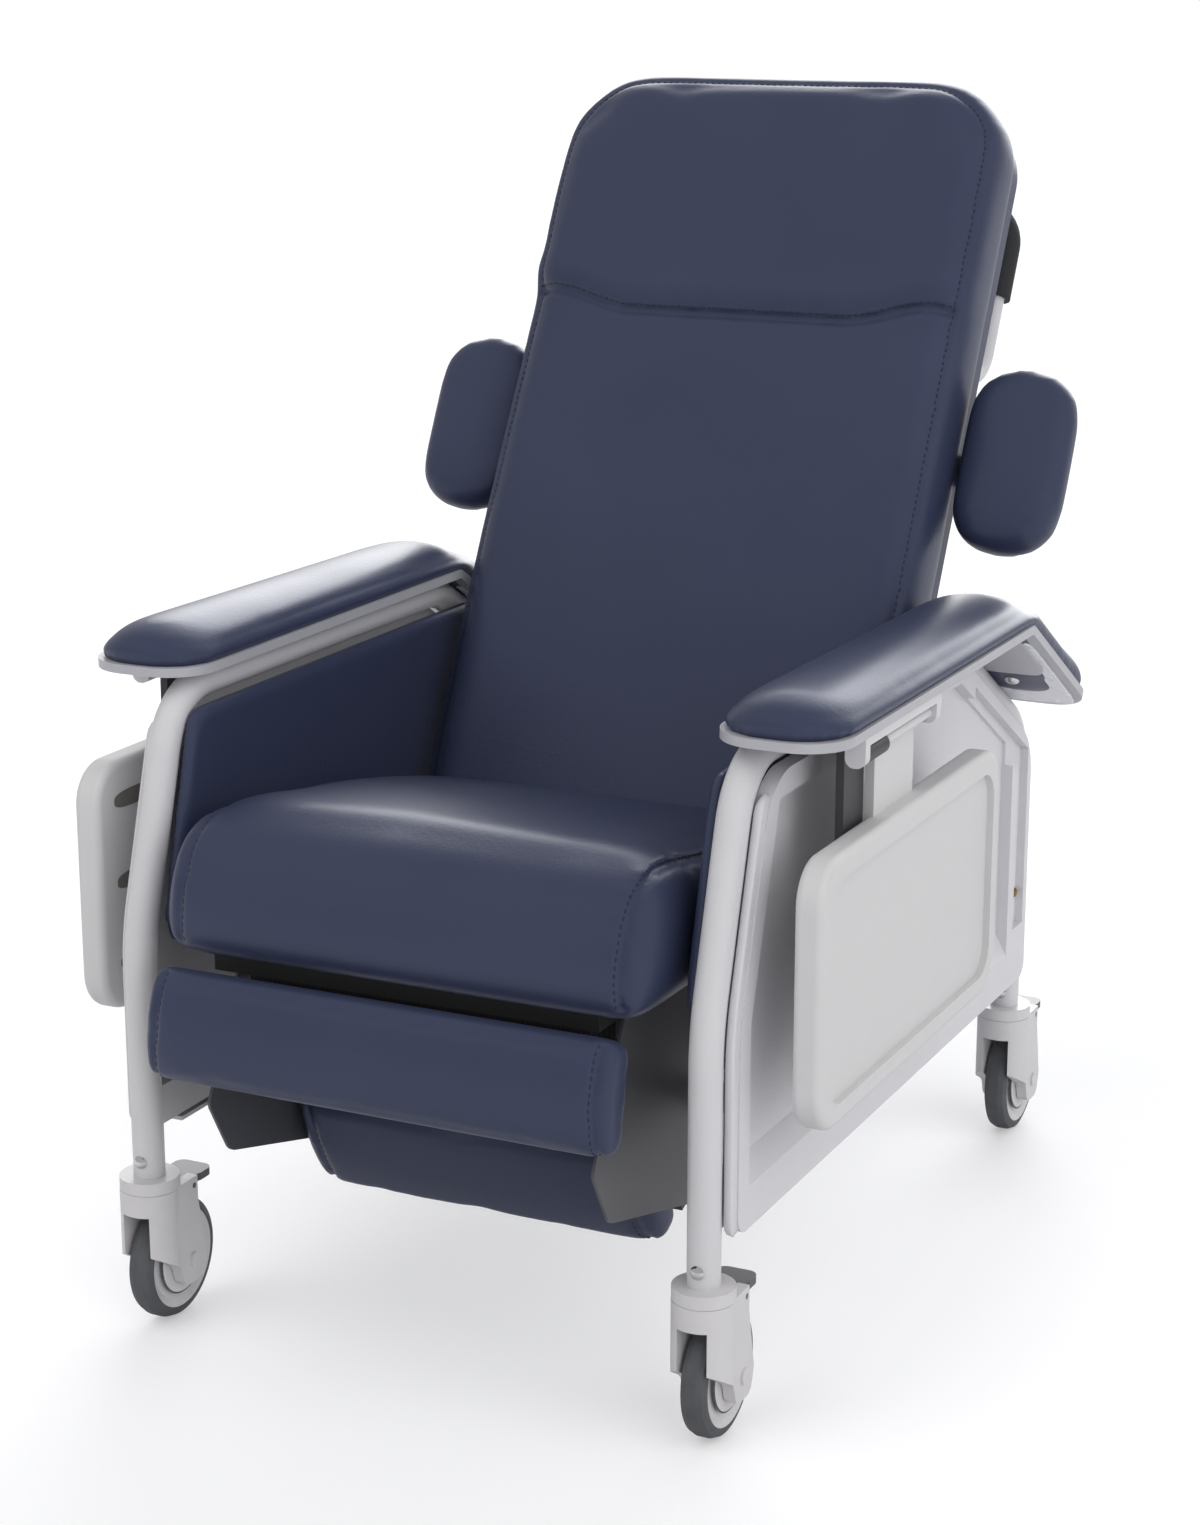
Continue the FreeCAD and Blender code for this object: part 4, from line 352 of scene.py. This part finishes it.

# Painted shade: a darkened copy of the tray's polyethylene, laid flat where the pockets' hollows are.
pocket_shade, tree = material("painted_pocket_shade")
place = add(tree, "ShaderNodeTexCoord")
mottle = add(tree, "ShaderNodeTexNoise", {
    "Vector": place.outputs["Object"], "Scale": 40.0, "Detail": 3.0})
tone = add(tree, "ShaderNodeMix", data_type="RGBA", inputs={
    "Factor": mottle.outputs["Fac"], "A": linear("#66645E"), "B": linear("#74726B")})
shader = add(tree, "ShaderNodeBsdfPrincipled", {
    "Base Color": tone.outputs["Result"], "Roughness": 0.5, "IOR": 1.51})
add(tree, "ShaderNodeOutputMaterial", {"Surface": shader.outputs[0]})
pocket_across = 0.369
pocket_depth = -0.365
pocket_heights = (0.522, 0.438, 0.354)
u, v = oblong(3, 40)
for side, sign in SIDES:
    pockets = []
    for height in pocket_heights:
        face = np.full(len(u), sign * pocket_across)
        pockets.append(np.stack([face, pocket_depth + 0.042 * u, height + 0.009 * v], axis=1))
    slab("tray_pocket_shade_" + side, pockets, [(-sign * 0.0006, 0, 0)] * 3, PLATE_EDGE, pocket_shade,
         "tray_" + side)

# Tray arms, seat side plates, back hinge plates and leg frames: pressed steel in a satin charcoal paint
# with the orange peel of a spray gun, drawn at 1.7 mm so that it shows. The solids are shown as they are.
charcoal, tree = material("satin_charcoal_paint")
place = add(tree, "ShaderNodeTexCoord")
spray = add(tree, "ShaderNodeTexNoise", {
    "Vector": place.outputs["Object"], "Scale": 600.0, "Detail": 2.0})
fade = add(tree, "ShaderNodeTexNoise", {"Vector": place.outputs["Object"], "Scale": 18.0, "Detail": 2.0})
tone = add(tree, "ShaderNodeMix", data_type="RGBA", inputs={
    "Factor": fade.outputs["Fac"], "A": linear("#2B2C2F"), "B": linear("#3A3B3E")})
relief = add(tree, "ShaderNodeBump", {
    "Height": spray.outputs["Fac"], "Strength": 0.15, "Distance": 0.0004})
shader = add(tree, "ShaderNodeBsdfPrincipled", {
    "Base Color": tone.outputs["Result"], "Roughness": 0.45, "Normal": relief.outputs[0], "IOR": 1.5})
add(tree, "ShaderNodeOutputMaterial", {"Surface": shader.outputs[0]})
dress(charcoal, "tray_arm_left", "tray_arm_right", "seat_side_plates", "back_hinge_plates",
      "lower_leg_frame", "front_leg_frame")

# Links, tracks and wing brackets: zinc-plated steel strip, with drawn lines about 1 mm wide
# that vary its gloss. The solids are shown as they are.
zinc_plate, tree = material("zinc_plated_strip")
place = add(tree, "ShaderNodeTexCoord")
stretch = add(tree, "ShaderNodeMapping", {
    "Vector": place.outputs["Object"], "Scale": (900.0, 60.0, 60.0)})
drawn = add(tree, "ShaderNodeTexNoise", {"Vector": stretch.outputs[0], "Scale": 1.0, "Detail": 2.0})
gloss = add(tree, "ShaderNodeMapRange", {"Value": drawn.outputs["Fac"], "To Min": 0.26, "To Max": 0.44})
tone = add(tree, "ShaderNodeMix", data_type="RGBA", inputs={
    "Factor": drawn.outputs["Fac"], "A": linear("#A5A7A8"), "B": linear("#BDBEBE")})
shader = add(tree, "ShaderNodeBsdfPrincipled", {
    "Base Color": tone.outputs["Result"], "Roughness": gloss.outputs[0], "Metallic": 1.0})
add(tree, "ShaderNodeOutputMaterial", {"Surface": shader.outputs[0]})
dress(zinc_plate, "drive_links", "unfold_links", "wing_tracks", "wing_bracket_left", "wing_bracket_right")

# Seat board: birch plywood stained black, sealed, with long grain about 3 mm wide
# running front to back. The stain leaves the grain just readable.
plywood, tree = material("black_stained_plywood")
place = add(tree, "ShaderNodeTexCoord")
stretch = add(tree, "ShaderNodeMapping", {"Vector": place.outputs["Object"], "Scale": (60.0, 4.0, 60.0)})
grain = add(tree, "ShaderNodeTexNoise", {
    "Vector": stretch.outputs[0], "Scale": 5.0, "Detail": 5.0, "Distortion": 0.4})
tone = add(tree, "ShaderNodeMix", data_type="RGBA", inputs={
    "Factor": grain.outputs["Fac"], "A": linear("#151516"), "B": linear("#262627")})
shader = add(tree, "ShaderNodeBsdfPrincipled", {
    "Base Color": tone.outputs["Result"], "Roughness": 0.55, "IOR": 1.5})
add(tree, "ShaderNodeOutputMaterial", {"Surface": shader.outputs[0]})
dress(plywood, "seat_board")

# Seat front strips: painted shade for the gap below the seat's front, black with ribs about 5 mm apart,
# one strip below the seat's nose and one further back between the side plates. Both are thin plates
# that hang from the seat board.
gap_shade_cloth, tree = material("painted_gap_shade_cloth")
place = add(tree, "ShaderNodeTexCoord")
ribs = add(tree, "ShaderNodeTexWave", {
    "Vector": place.outputs["Object"], "Scale": 60.0, "Distortion": 0.0})
tone = add(tree, "ShaderNodeMix", data_type="RGBA", inputs={
    "Factor": ribs.outputs["Fac"], "A": linear("#0B0B0D"), "B": linear("#1E1F22")})
shader = add(tree, "ShaderNodeBsdfPrincipled", {
    "Base Color": tone.outputs["Result"], "Roughness": 0.8, "IOR": 1.45})
add(tree, "ShaderNodeOutputMaterial", {"Surface": shader.outputs[0]})
# Painted shade: dark strips where the gap between the seat and the front leg pad lies in shadow.
strips = []
for half, depth, foot, head in ((0.186, -0.4525, 0.366, 0.402), (0.190, -0.4100, 0.335, 0.3968)):
    strips.append([(-half, depth, foot), (half, depth, foot), (half, depth, head), (-half, depth, head)])
slab("seat_gap_shade_strip", strips, [(0, -0.003, 0)] * 2, PLATE_EDGE, gap_shade_cloth, "chassis")

# Leg shields and brake pedals: moulded plate in slate grey with a low sheen and a fine pebbled face,
# drawn at 2 mm so that it shows. The solids are shown as they are.
slate_plastic, tree = material("slate_grey_plastic")
place = add(tree, "ShaderNodeTexCoord")
pebble = add(tree, "ShaderNodeTexVoronoi", feature="SMOOTH_F1", inputs={
    "Vector": place.outputs["Object"], "Scale": 500.0})
fade = add(tree, "ShaderNodeTexNoise", {"Vector": place.outputs["Object"], "Scale": 9.0, "Detail": 2.0})
tone = add(tree, "ShaderNodeMix", data_type="RGBA", inputs={
    "Factor": fade.outputs["Fac"], "A": linear("#4A4B50"), "B": linear("#56575C")})
relief = add(tree, "ShaderNodeBump", {
    "Height": pebble.outputs["Distance"], "Strength": 0.12, "Distance": 0.0005})
shader = add(tree, "ShaderNodeBsdfPrincipled", {
    "Base Color": tone.outputs["Result"], "Roughness": 0.34, "Normal": relief.outputs[0], "IOR": 1.49})
add(tree, "ShaderNodeOutputMaterial", {"Surface": shader.outputs[0]})
CORNERS = ("front_left", "front_right", "rear_left", "rear_right")
dress(slate_plastic, "leg_shields", *["brake_pedal_" + corner for corner in CORNERS])

# Casters: nylon forks, collars, wheel centres and axle caps in white, with a soft moulded sheen.
# The solids are shown as they are.
nylon, tree = material("moulded_white_nylon")
place = add(tree, "ShaderNodeTexCoord")
flow = add(tree, "ShaderNodeTexNoise", {"Vector": place.outputs["Object"], "Scale": 30.0, "Detail": 3.0})
tone = add(tree, "ShaderNodeMix", data_type="RGBA", inputs={
    "Factor": flow.outputs["Fac"], "A": linear("#CBC9CB"), "B": linear("#D5D3D5")})
gloss = add(tree, "ShaderNodeMapRange", {"Value": flow.outputs["Fac"], "To Min": 0.3, "To Max": 0.42})
shader = add(tree, "ShaderNodeBsdfPrincipled", {
    "Base Color": tone.outputs["Result"], "Roughness": gloss.outputs[0], "IOR": 1.53})
add(tree, "ShaderNodeOutputMaterial", {"Surface": shader.outputs[0]})
dress(nylon, "caster_stems")
for corner in CORNERS:
    dress(nylon, "caster_fork_" + corner, "wheel_core_" + corner, "caster_axle_" + corner)

# Tyres: grey non-marking rubber, matt, dusty on the tread. Each wheel also has a shallow nylon cover
# on both faces, with a thin ring of the dark rubber round it, painted shade for the groove at the cover's
# rim; both are plates raised from a circle.
tread_rubber, tree = material("grey_tread_rubber")
place = add(tree, "ShaderNodeTexCoord")
dust = add(tree, "ShaderNodeTexNoise", {"Vector": place.outputs["Object"], "Scale": 60.0, "Detail": 5.0})
tone = add(tree, "ShaderNodeMix", data_type="RGBA", inputs={
    "Factor": dust.outputs["Fac"], "A": linear("#46474B"), "B": linear("#5C5D61")})
relief = add(tree, "ShaderNodeBump", {
    "Height": dust.outputs["Fac"], "Strength": 0.15, "Distance": 0.0006})
shader = add(tree, "ShaderNodeBsdfPrincipled", {
    "Base Color": tone.outputs["Result"], "Roughness": 0.62, "Normal": relief.outputs[0], "IOR": 1.52})
add(tree, "ShaderNodeOutputMaterial", {"Surface": shader.outputs[0]})
dress(tread_rubber, *["wheel_tyre_" + corner for corner in CORNERS])
COVER_EDGE = ((0, 0), (1, 0), (1, 0.5), (0.985, 0.9), (0.96, 1), (0.9, 1), (0.86, 0.8), (0.5, 0.72),
              (0.2, 0.7), (0, 0.7))
cover_radius = 0.036
groove_shade_overlap = 0.045
groove_shade_share = 0.35
lifts = np.array([(-0.0014, 0, 0), (0.0014, 0, 0)])
u, v = oblong(2)
for corner in CORNERS:
    low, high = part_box("wheel_core_" + corner)
    middle = (low + high) / 2
    depth = middle.y + cover_radius * u
    height = middle.z + cover_radius * v
    faces = [np.stack([np.full(len(u), face), depth, height], axis=1) for face in (low.x, high.x)]
    slab("wheel_cover_" + corner, faces, lifts, COVER_EDGE, nylon, "wheel_" + corner)
    # Painted shade: a thin ring of the dark tyre rubber just past each cover, standing in for the groove
    # round it.
    wider = [face + (face - face.mean(0)) * groove_shade_overlap for face in faces]
    slab("wheel_groove_shade_" + corner, wider, lifts * groove_shade_share, PLATE_EDGE, tread_rubber, "wheel_" + corner)

# Leg bolts: chromed steel domes on the front of each leg, which pin the leg to its caster stem.
# The solids are shown as they are, in the same chrome as the flap bolts.
dress(chrome, "leg_bolts")

# Push grip: a sleeve of closed-cell foam in black, pushed on to the handle. It is matt, with fine open
# pores drawn at 2 mm so that they show. The solid is shown as it is.
foam_grip, tree = material("black_foam_sleeve")
place = add(tree, "ShaderNodeTexCoord")
pores = add(tree, "ShaderNodeTexNoise", {
    "Vector": place.outputs["Object"], "Scale": 500.0, "Detail": 3.0})
tone = add(tree, "ShaderNodeMix", data_type="RGBA", inputs={
    "Factor": pores.outputs["Fac"], "A": linear("#1E1F21"), "B": linear("#343538")})
relief = add(tree, "ShaderNodeBump", {
    "Height": pores.outputs["Fac"], "Strength": 0.3, "Distance": 0.0008})
shader = add(tree, "ShaderNodeBsdfPrincipled", {
    "Base Color": tone.outputs["Result"], "Roughness": 0.7, "Normal": relief.outputs[0], "IOR": 1.45})
add(tree, "ShaderNodeOutputMaterial", {"Surface": shader.outputs[0]})
dress(foam_grip, "push_grip")

# Upholstery: foam under expanded vinyl in navy, embossed with a leather grain of about 1.5 mm,
# drawn at 2.5 mm so that it shows. The same vinyl covers the back board. The seams are sewn with
# darker bonded thread, and the functions here make a pad, press its seams in and lay its stitches.
vinyl, tree = material("navy_expanded_vinyl")
place = add(tree, "ShaderNodeTexCoord")
grain = add(tree, "ShaderNodeTexVoronoi", feature="SMOOTH_F1", inputs={
    "Vector": place.outputs["Object"], "Scale": 400.0})
crease = add(tree, "ShaderNodeTexNoise", {
    "Vector": place.outputs["Object"], "Scale": 160.0, "Detail": 4.0})
cloud = add(tree, "ShaderNodeTexNoise", {"Vector": place.outputs["Object"], "Scale": 7.0, "Detail": 3.0})
tone = add(tree, "ShaderNodeMix", data_type="RGBA", inputs={
    "Factor": cloud.outputs["Fac"], "A": linear("#32384F"), "B": linear("#393F57")})
gloss = add(tree, "ShaderNodeMapRange", {"Value": cloud.outputs["Fac"], "To Min": 0.31, "To Max": 0.40})
coarse = add(tree, "ShaderNodeBump", {
    "Height": crease.outputs["Fac"], "Strength": 0.12, "Distance": 0.0012})
relief = add(tree, "ShaderNodeBump", {
    "Height": grain.outputs["Distance"], "Strength": 0.16,
    "Distance": 0.0006, "Normal": coarse.outputs[0]})
shader = add(tree, "ShaderNodeBsdfPrincipled", {
    "Base Color": tone.outputs["Result"], "Roughness": gloss.outputs[0], "Normal": relief.outputs[0],
    "IOR": 1.47, "Specular Tint": linear("#DDE3F7")})
add(tree, "ShaderNodeOutputMaterial", {"Surface": shader.outputs[0]})
dress(vinyl, "back_board")

thread, tree = material("navy_bonded_thread")
place = add(tree, "ShaderNodeTexCoord")
twist = add(tree, "ShaderNodeTexNoise", {
    "Vector": place.outputs["Object"], "Scale": 900.0, "Detail": 1.0})
tone = add(tree, "ShaderNodeMix", data_type="RGBA", inputs={
    "Factor": twist.outputs["Fac"], "A": linear("#1E2336"), "B": linear("#2A2F44")})
shader = add(tree, "ShaderNodeBsdfPrincipled", {
    "Base Color": tone.outputs["Result"], "Roughness": 0.55, "IOR": 1.5})
add(tree, "ShaderNodeOutputMaterial", {"Surface": shader.outputs[0]})


def shown(source):
    """A new mesh of an object as its modifiers leave it."""
    bpy.context.view_layer.update()
    graph = bpy.context.evaluated_depsgraph_get()
    return bpy.data.meshes.new_from_object(source.evaluated_get(graph))


def points_of(mesh):
    """All vertex places of a mesh as rows."""
    flat = np.empty(len(mesh.vertices) * 3, np.float32)
    mesh.vertices.foreach_get("co", flat)
    return flat.reshape(-1, 3).astype(float)


def set_points(mesh, points):
    """Puts rows of places back into a mesh."""
    mesh.vertices.foreach_set("co", points.astype(np.float32).ravel())
    mesh.update()


def normals_of(mesh):
    """The outward direction at each vertex."""
    flat = np.empty(len(mesh.vertices) * 3, np.float32)
    mesh.vertex_normals.foreach_get("vector", flat)
    return flat.reshape(-1, 3).astype(float)


def swap(made, mesh):
    """Gives an object a new mesh and drops its modifiers and the old mesh."""
    old = made.data
    made.modifiers.clear()
    made.data = mesh
    bpy.data.meshes.remove(old)


def soften(made, passes):
    """Adds a smoothing modifier with so many passes."""
    made.modifiers.new("soften", "SMOOTH").iterations = passes


def swell(made, pressure, cap, held):
    """Blows a pad up as cloth and moves each point out by its swelling, never in, up to a cap.

    held gives, for rows of places, which points the board behind the pad keeps still."""
    start = points_of(made.data)
    cloth = made.modifiers.new("skin", "CLOTH")
    cloth.settings.quality = 4
    cloth.settings.mass = 0.3
    cloth.settings.tension_stiffness = 12
    cloth.settings.compression_stiffness = 12
    cloth.settings.bending_stiffness = 0.6
    cloth.settings.use_pressure = True
    cloth.settings.uniform_pressure_force = pressure
    cloth.settings.effector_weights.gravity = 0
    cloth.collision_settings.use_collision = False
    if held is not None:
        group = made.vertex_groups.new(name="held")
        group.add(np.flatnonzero(held(start)).tolist(), 1.0, "REPLACE")
        cloth.settings.vertex_group_mass = "held"
    for step in range(1, 21):
        scene.frame_set(step)
    blown = points_of(shown(made))
    outward = normals_of(made.data)
    out = np.clip(((blown - start) * outward).sum(1, keepdims=True), 0, cap)
    made.modifiers.clear()
    made.vertex_groups.clear()
    set_points(made.data, start + outward * out)
    scene.frame_set(1)


def plump(name, node, voxel, pressure, cap, held=None, grow=0.0, passes=6, after=4):
    """A foam pad from its CAD form: remeshed, smoothed, grown by a constant, blown up, smoothed again.

    passes is the smoothing before the swelling and after is the smoothing that follows it."""
    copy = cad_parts[node].data.copy()
    shape = bmesh.new()
    shape.from_mesh(copy)
    bmesh.ops.remove_doubles(shape, verts=shape.verts, dist=1e-5)
    bmesh.ops.recalc_face_normals(shape, faces=shape.faces)
    shape.to_mesh(copy)
    shape.free()
    copy.materials.clear()
    made = bpy.data.objects.new(name, copy)
    scene.collection.objects.link(made)
    made.modifiers.new("even", "REMESH").voxel_size = voxel
    swap(made, shown(made))
    soften(made, passes)
    swap(made, shown(made))
    set_points(made.data, points_of(made.data) + normals_of(made.data) * grow)
    swell(made, pressure, cap, held)
    soften(made, after)
    finer = made.modifiers.new("finer", "SUBSURF")
    finer.levels = finer.render_levels = 1
    swap(made, shown(made))
    made.data.materials.append(vinyl)
    made.data.shade_smooth()
    return made


def upholster(made, node, body):
    """Finishes a pad: hides the CAD part it stands for and hangs it on the body that carries it."""
    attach(made, body)
    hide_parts(node)


def spaced(line, pitch):
    """Points at an even pitch along a polyline, by its running length."""
    line = np.asarray(line, float)
    run = np.concatenate([[0], np.cumsum(np.linalg.norm(np.diff(line, axis=0), axis=1))])
    steps = np.arange(0, run[-1], pitch)
    return np.stack([np.interp(steps, run, line[:, axis]) for axis in range(3)], axis=1)


def on_skin(made, line):
    """Each point of a line moved to the nearest place on a pad, with the outward direction there."""
    mesh = made.data
    tree = BVHTree.FromPolygons([v.co for v in mesh.vertices], [p.vertices for p in mesh.polygons])
    found = [tree.find_nearest(Vector(point)) for point in line]
    return np.array([hit[0] for hit in found]), np.array([hit[1] for hit in found])


def seam_on(made, line):
    """A line laid on a pad, a point every 6 mm."""
    return on_skin(made, spaced(line, 0.006))[0]


def sew(made, line, depth, width, pucker=0.0):
    """Draws a pad in along a seam: depth times a bell curve of the distance to the line.

    A negative depth raises a roll. Puckers are waves along the seam that die out three widths from it."""
    mesh = made.data
    points = points_of(mesh)
    outward = normals_of(mesh)
    line = spaced(line, 0.004)
    run = np.arange(len(line)) * 0.004
    low = line.min(0) - 4 * width
    high = line.max(0) + 4 * width
    near = np.flatnonzero(np.all((points > low) & (points < high), axis=1))
    gap = np.empty(len(near))
    along = np.empty(len(near))
    for start in range(0, len(near), 4000):
        part = near[start:start + 4000]
        far = np.linalg.norm(points[part][:, None] - line[None], axis=2)
        gap[start:start + 4000] = far.min(1)
        along[start:start + 4000] = run[far.argmin(1)]
    bell = np.exp(-((gap / width) ** 2))
    pull = depth * bell
    if pucker:
        wave = np.sin(along * 2 * np.pi / 0.043) + 0.6 * np.sin(along * 2 * np.pi / 0.027 + 1.3)
        pull += pucker * wave * np.exp(-((gap / (3 * width)) ** 2)) * (1 - bell)
    points[near] -= outward[near] * pull[:, None]
    set_points(mesh, points)


def stitch(made, name, line, body, shift=(0, 0, 0), pitch=0.0075, length=0.005, radius=0.0010):
    """A row of thread beside a line on a pad: each stitch is an ellipsoid, long along the seam and set
    half into the skin."""
    middle, outward = on_skin(made, spaced(line, pitch) + np.asarray(shift))
    ahead = np.gradient(middle, axis=0)
    ahead /= np.linalg.norm(ahead, axis=1, keepdims=True)
    across = np.cross(outward, ahead)
    across /= np.maximum(np.linalg.norm(across, axis=1, keepdims=True), 1e-9)
    turn = np.linspace(0, 2 * np.pi, 6, endpoint=False)
    fall = np.linspace(0, np.pi, 5)
    u, v = np.meshgrid(fall, turn, indexing="ij")
    thick = np.sin(u) * radius
    ball = np.stack([np.cos(u) * length / 2, thick * np.cos(v), thick * np.sin(v)], axis=-1)
    frames = np.stack([ahead, across, outward], axis=1)
    grid = np.einsum("rci,nij->nrcj", ball, frames) + middle[:, None, None, :]
    row = grid_mesh(name, grid)
    row.data.materials.append(thread)
    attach(row, body)


# Seat cushion: a foam block with a rolled nose in navy vinyl, boxed at each end.
# The end panels are sewn in with a topstitched seam that follows the block's profile.
seat_low, seat_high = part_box("seat_cushion")


def on_seat_board(rows):
    """Which points of the seat's skin lie on the board."""
    return rows[:, 2] < seat_low.z + 0.006


seat = plump("seat_upholstery", "seat_cushion", voxel=0.007, pressure=4.0, cap=0.010, held=on_seat_board,
             grow=0.004, passes=70, after=40)
seam_depth = np.array([0.440, 0.250, 0.033, -0.012, -0.034, -0.046, -0.042, -0.038]) - LEG_SETBACK
seam_rise = np.array([0.470, 0.510, 0.548, 0.530, 0.500, 0.460, 0.430, 0.416])
for side, sign in SIDES:
    end = np.full(len(seam_depth), sign * (seat_high.x - 0.022))
    line = seam_on(seat, np.stack([end, seam_depth, seam_rise], axis=1))
    sew(seat, line, depth=0.0045, width=0.0046, pucker=0.0006)
    stitch(seat, "seat_thread_" + side, line, "chassis", shift=(-sign * 0.005, 0, 0))
upholster(seat, "seat_cushion", "chassis")

# Back cushion: a tall foam pad in navy vinyl, its front panel sewn to a boxed edge, with a head pillow
# above a stitched seam that sags in the middle, where the cover puckers. The top corners are drawn in
# a little, and the seams are set out in the back's own frame, which leans and sits on its hinge.
BACK_HINGE = np.array([0, 0.569 - LEG_SETBACK, 0.310])
BACK_LEAN = math.radians(28)
BACK_BEHIND = np.array([0, math.cos(BACK_LEAN), -math.sin(BACK_LEAN)])
BACK_UP = np.array([0, math.sin(BACK_LEAN), math.cos(BACK_LEAN)])
BACK_HALF = 0.264
BACK_TOP = 0.954
BACK_CORNER = 0.105


def in_back(across, depth, height):
    """Places in the back's own frame as rows in the room: across, behind the hinge line, up the back."""
    across, depth, height = np.broadcast_arrays(across, depth, height)
    sideways = np.outer(across, (1, 0, 0))
    return BACK_HINGE + sideways + np.outer(depth, BACK_BEHIND) + np.outer(height, BACK_UP)


def on_back_board(rows):
    """Which points of the back's skin lie on the board behind it."""
    return (rows - BACK_HINGE) @ BACK_BEHIND > -0.053


back = plump("back_upholstery", "back_cushion", voxel=0.0086, pressure=4.0, cap=0.012, held=on_back_board,
             grow=-0.002, passes=20, after=12)
rows = points_of(back.data)
past_side = np.maximum(np.abs(rows[:, 0]) - (BACK_HALF - BACK_CORNER), 0)
past_top = np.maximum((rows - BACK_HINGE) @ BACK_UP - (BACK_TOP - BACK_CORNER), 0)
angle = np.arctan2(past_top, np.maximum(past_side, 1e-9))
corner_draw = 0.045
draw = corner_draw * np.sin(2 * angle) ** 2
rows[:, 0] -= np.sign(rows[:, 0]) * past_side * draw
rows -= np.outer(past_top * draw, BACK_UP)
set_points(back.data, rows)

welt_half = BACK_HALF - 0.010
welt_top = BACK_TOP - 0.012
welt_corner = 0.094
face_depth = -0.145
arc = np.linspace(0, np.pi / 2, 12)
upright = np.stack([np.full(20, welt_half), np.linspace(0.02, welt_top - welt_corner, 20)], axis=1)
rounding = np.stack([np.cos(arc), np.sin(arc)], axis=1) * welt_corner
rounding += np.array([welt_half - welt_corner, welt_top - welt_corner])
one_side = np.vstack([upright, rounding])
outline = np.vstack([one_side, (one_side * np.array([-1, 1]))[::-1]])
welt = seam_on(back, in_back(outline[:, 0], face_depth, outline[:, 1]))
sew(back, welt, depth=0.0024, width=0.0042)
roll = seam_on(back, in_back(outline[:, 0] * 0.86, face_depth, outline[:, 1] - 0.03))
sew(back, roll, depth=-0.0016, width=0.022)
share = np.linspace(-1, 1, 60)
fall = np.clip((0.88 - np.abs(share)) / 0.38, 0, 1)
seam_height = 0.668
seam_sag = 0.020
sagged = seam_height - seam_sag * fall ** 2 * (3 - 2 * fall)
head_seam = seam_on(back, in_back(share * welt_half, -0.14, sagged))
sew(back, head_seam + BACK_UP * 0.026, depth=-0.0040, width=0.020)
sew(back, head_seam, depth=0.0060, width=0.0052, pucker=0.0006)
stitch(back, "back_thread", welt, "back")
stitch(back, "head_thread", head_seam, "back", shift=BACK_UP * 0.007)
upholster(back, "back_cushion", "back")

# Wings, armrest pads and arm linings: foam on board, each covered in one stretched piece of navy vinyl.
# The armrest pads are pressed down a little and crowned along the middle, more so toward the front.
board_top = 0.668
pad_edge = 0.02
arm_press = 0.008
arm_crown = 0.009
crown_rear = 0.12
crown_run = 0.45
for side, sign in SIDES:
    wing = plump("wing_upholstery_" + side, "wing_pad_" + side, voxel=0.006, pressure=4.0, cap=0.006,
                 grow=0.004, passes=16, after=12)
    upholster(wing, "wing_pad_" + side, "wing_" + side)
    arm = plump("armrest_upholstery_" + side, "armrest_pad_" + side, voxel=0.005, pressure=3.0, cap=0.005,
                grow=0.008, passes=50, after=20)
    rows = points_of(arm.data)
    low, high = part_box("armrest_pad_" + side)
    spread = (rows[:, 0] - (low.x + high.x) / 2) / ((high.x - low.x) / 2)
    ahead = np.clip((crown_rear - rows[:, 1]) / crown_run, 0, 1)
    above_board = np.clip((rows[:, 2] - board_top) / pad_edge, 0, 1)
    rows[:, 2] += (arm_crown * np.clip(1 - spread ** 2, 0, 1) * ahead - arm_press) * above_board
    set_points(arm.data, rows)
    upholster(arm, "armrest_pad_" + side, "chassis")
    lining = plump("lining_upholstery_" + side, "arm_lining_" + side, voxel=0.005, pressure=2.0, cap=0.003,
                   grow=-0.002)
    upholster(lining, "arm_lining_" + side, "chassis")

# Leg pads: two foam bolsters on steel plates in navy vinyl, boxed at the ends.
# Each end panel is sewn in with a topstitched seam round the bolster's section.
for name, node, body in (
    ("front_leg_upholstery", "front_leg_pad", "front_leg"),
    ("lower_leg_upholstery", "lower_leg_pad", "lower_leg"),
):
    bolster = plump(name, node, voxel=0.006, pressure=4.0, cap=0.006, grow=-0.002)
    low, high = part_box(node)
    middle = (low + high) / 2
    size = high - low
    turn = np.linspace(0.15 * np.pi, 1.35 * np.pi, 40)
    depth = middle.y - size.y * 0.7 * np.sin(turn)
    height = middle.z + size.z * 0.7 * np.cos(turn)
    for side, sign in SIDES:
        end = np.full(len(turn), sign * (high.x - 0.012))
        line = seam_on(bolster, np.stack([end, depth, height], axis=1))
        sew(bolster, line, depth=0.0042, width=0.0044, pucker=0.0004)
        stitch(bolster, "%s_thread_%s" % (node, side), line, body, shift=(-sign * 0.004, 0, 0))
    upholster(bolster, node, body)
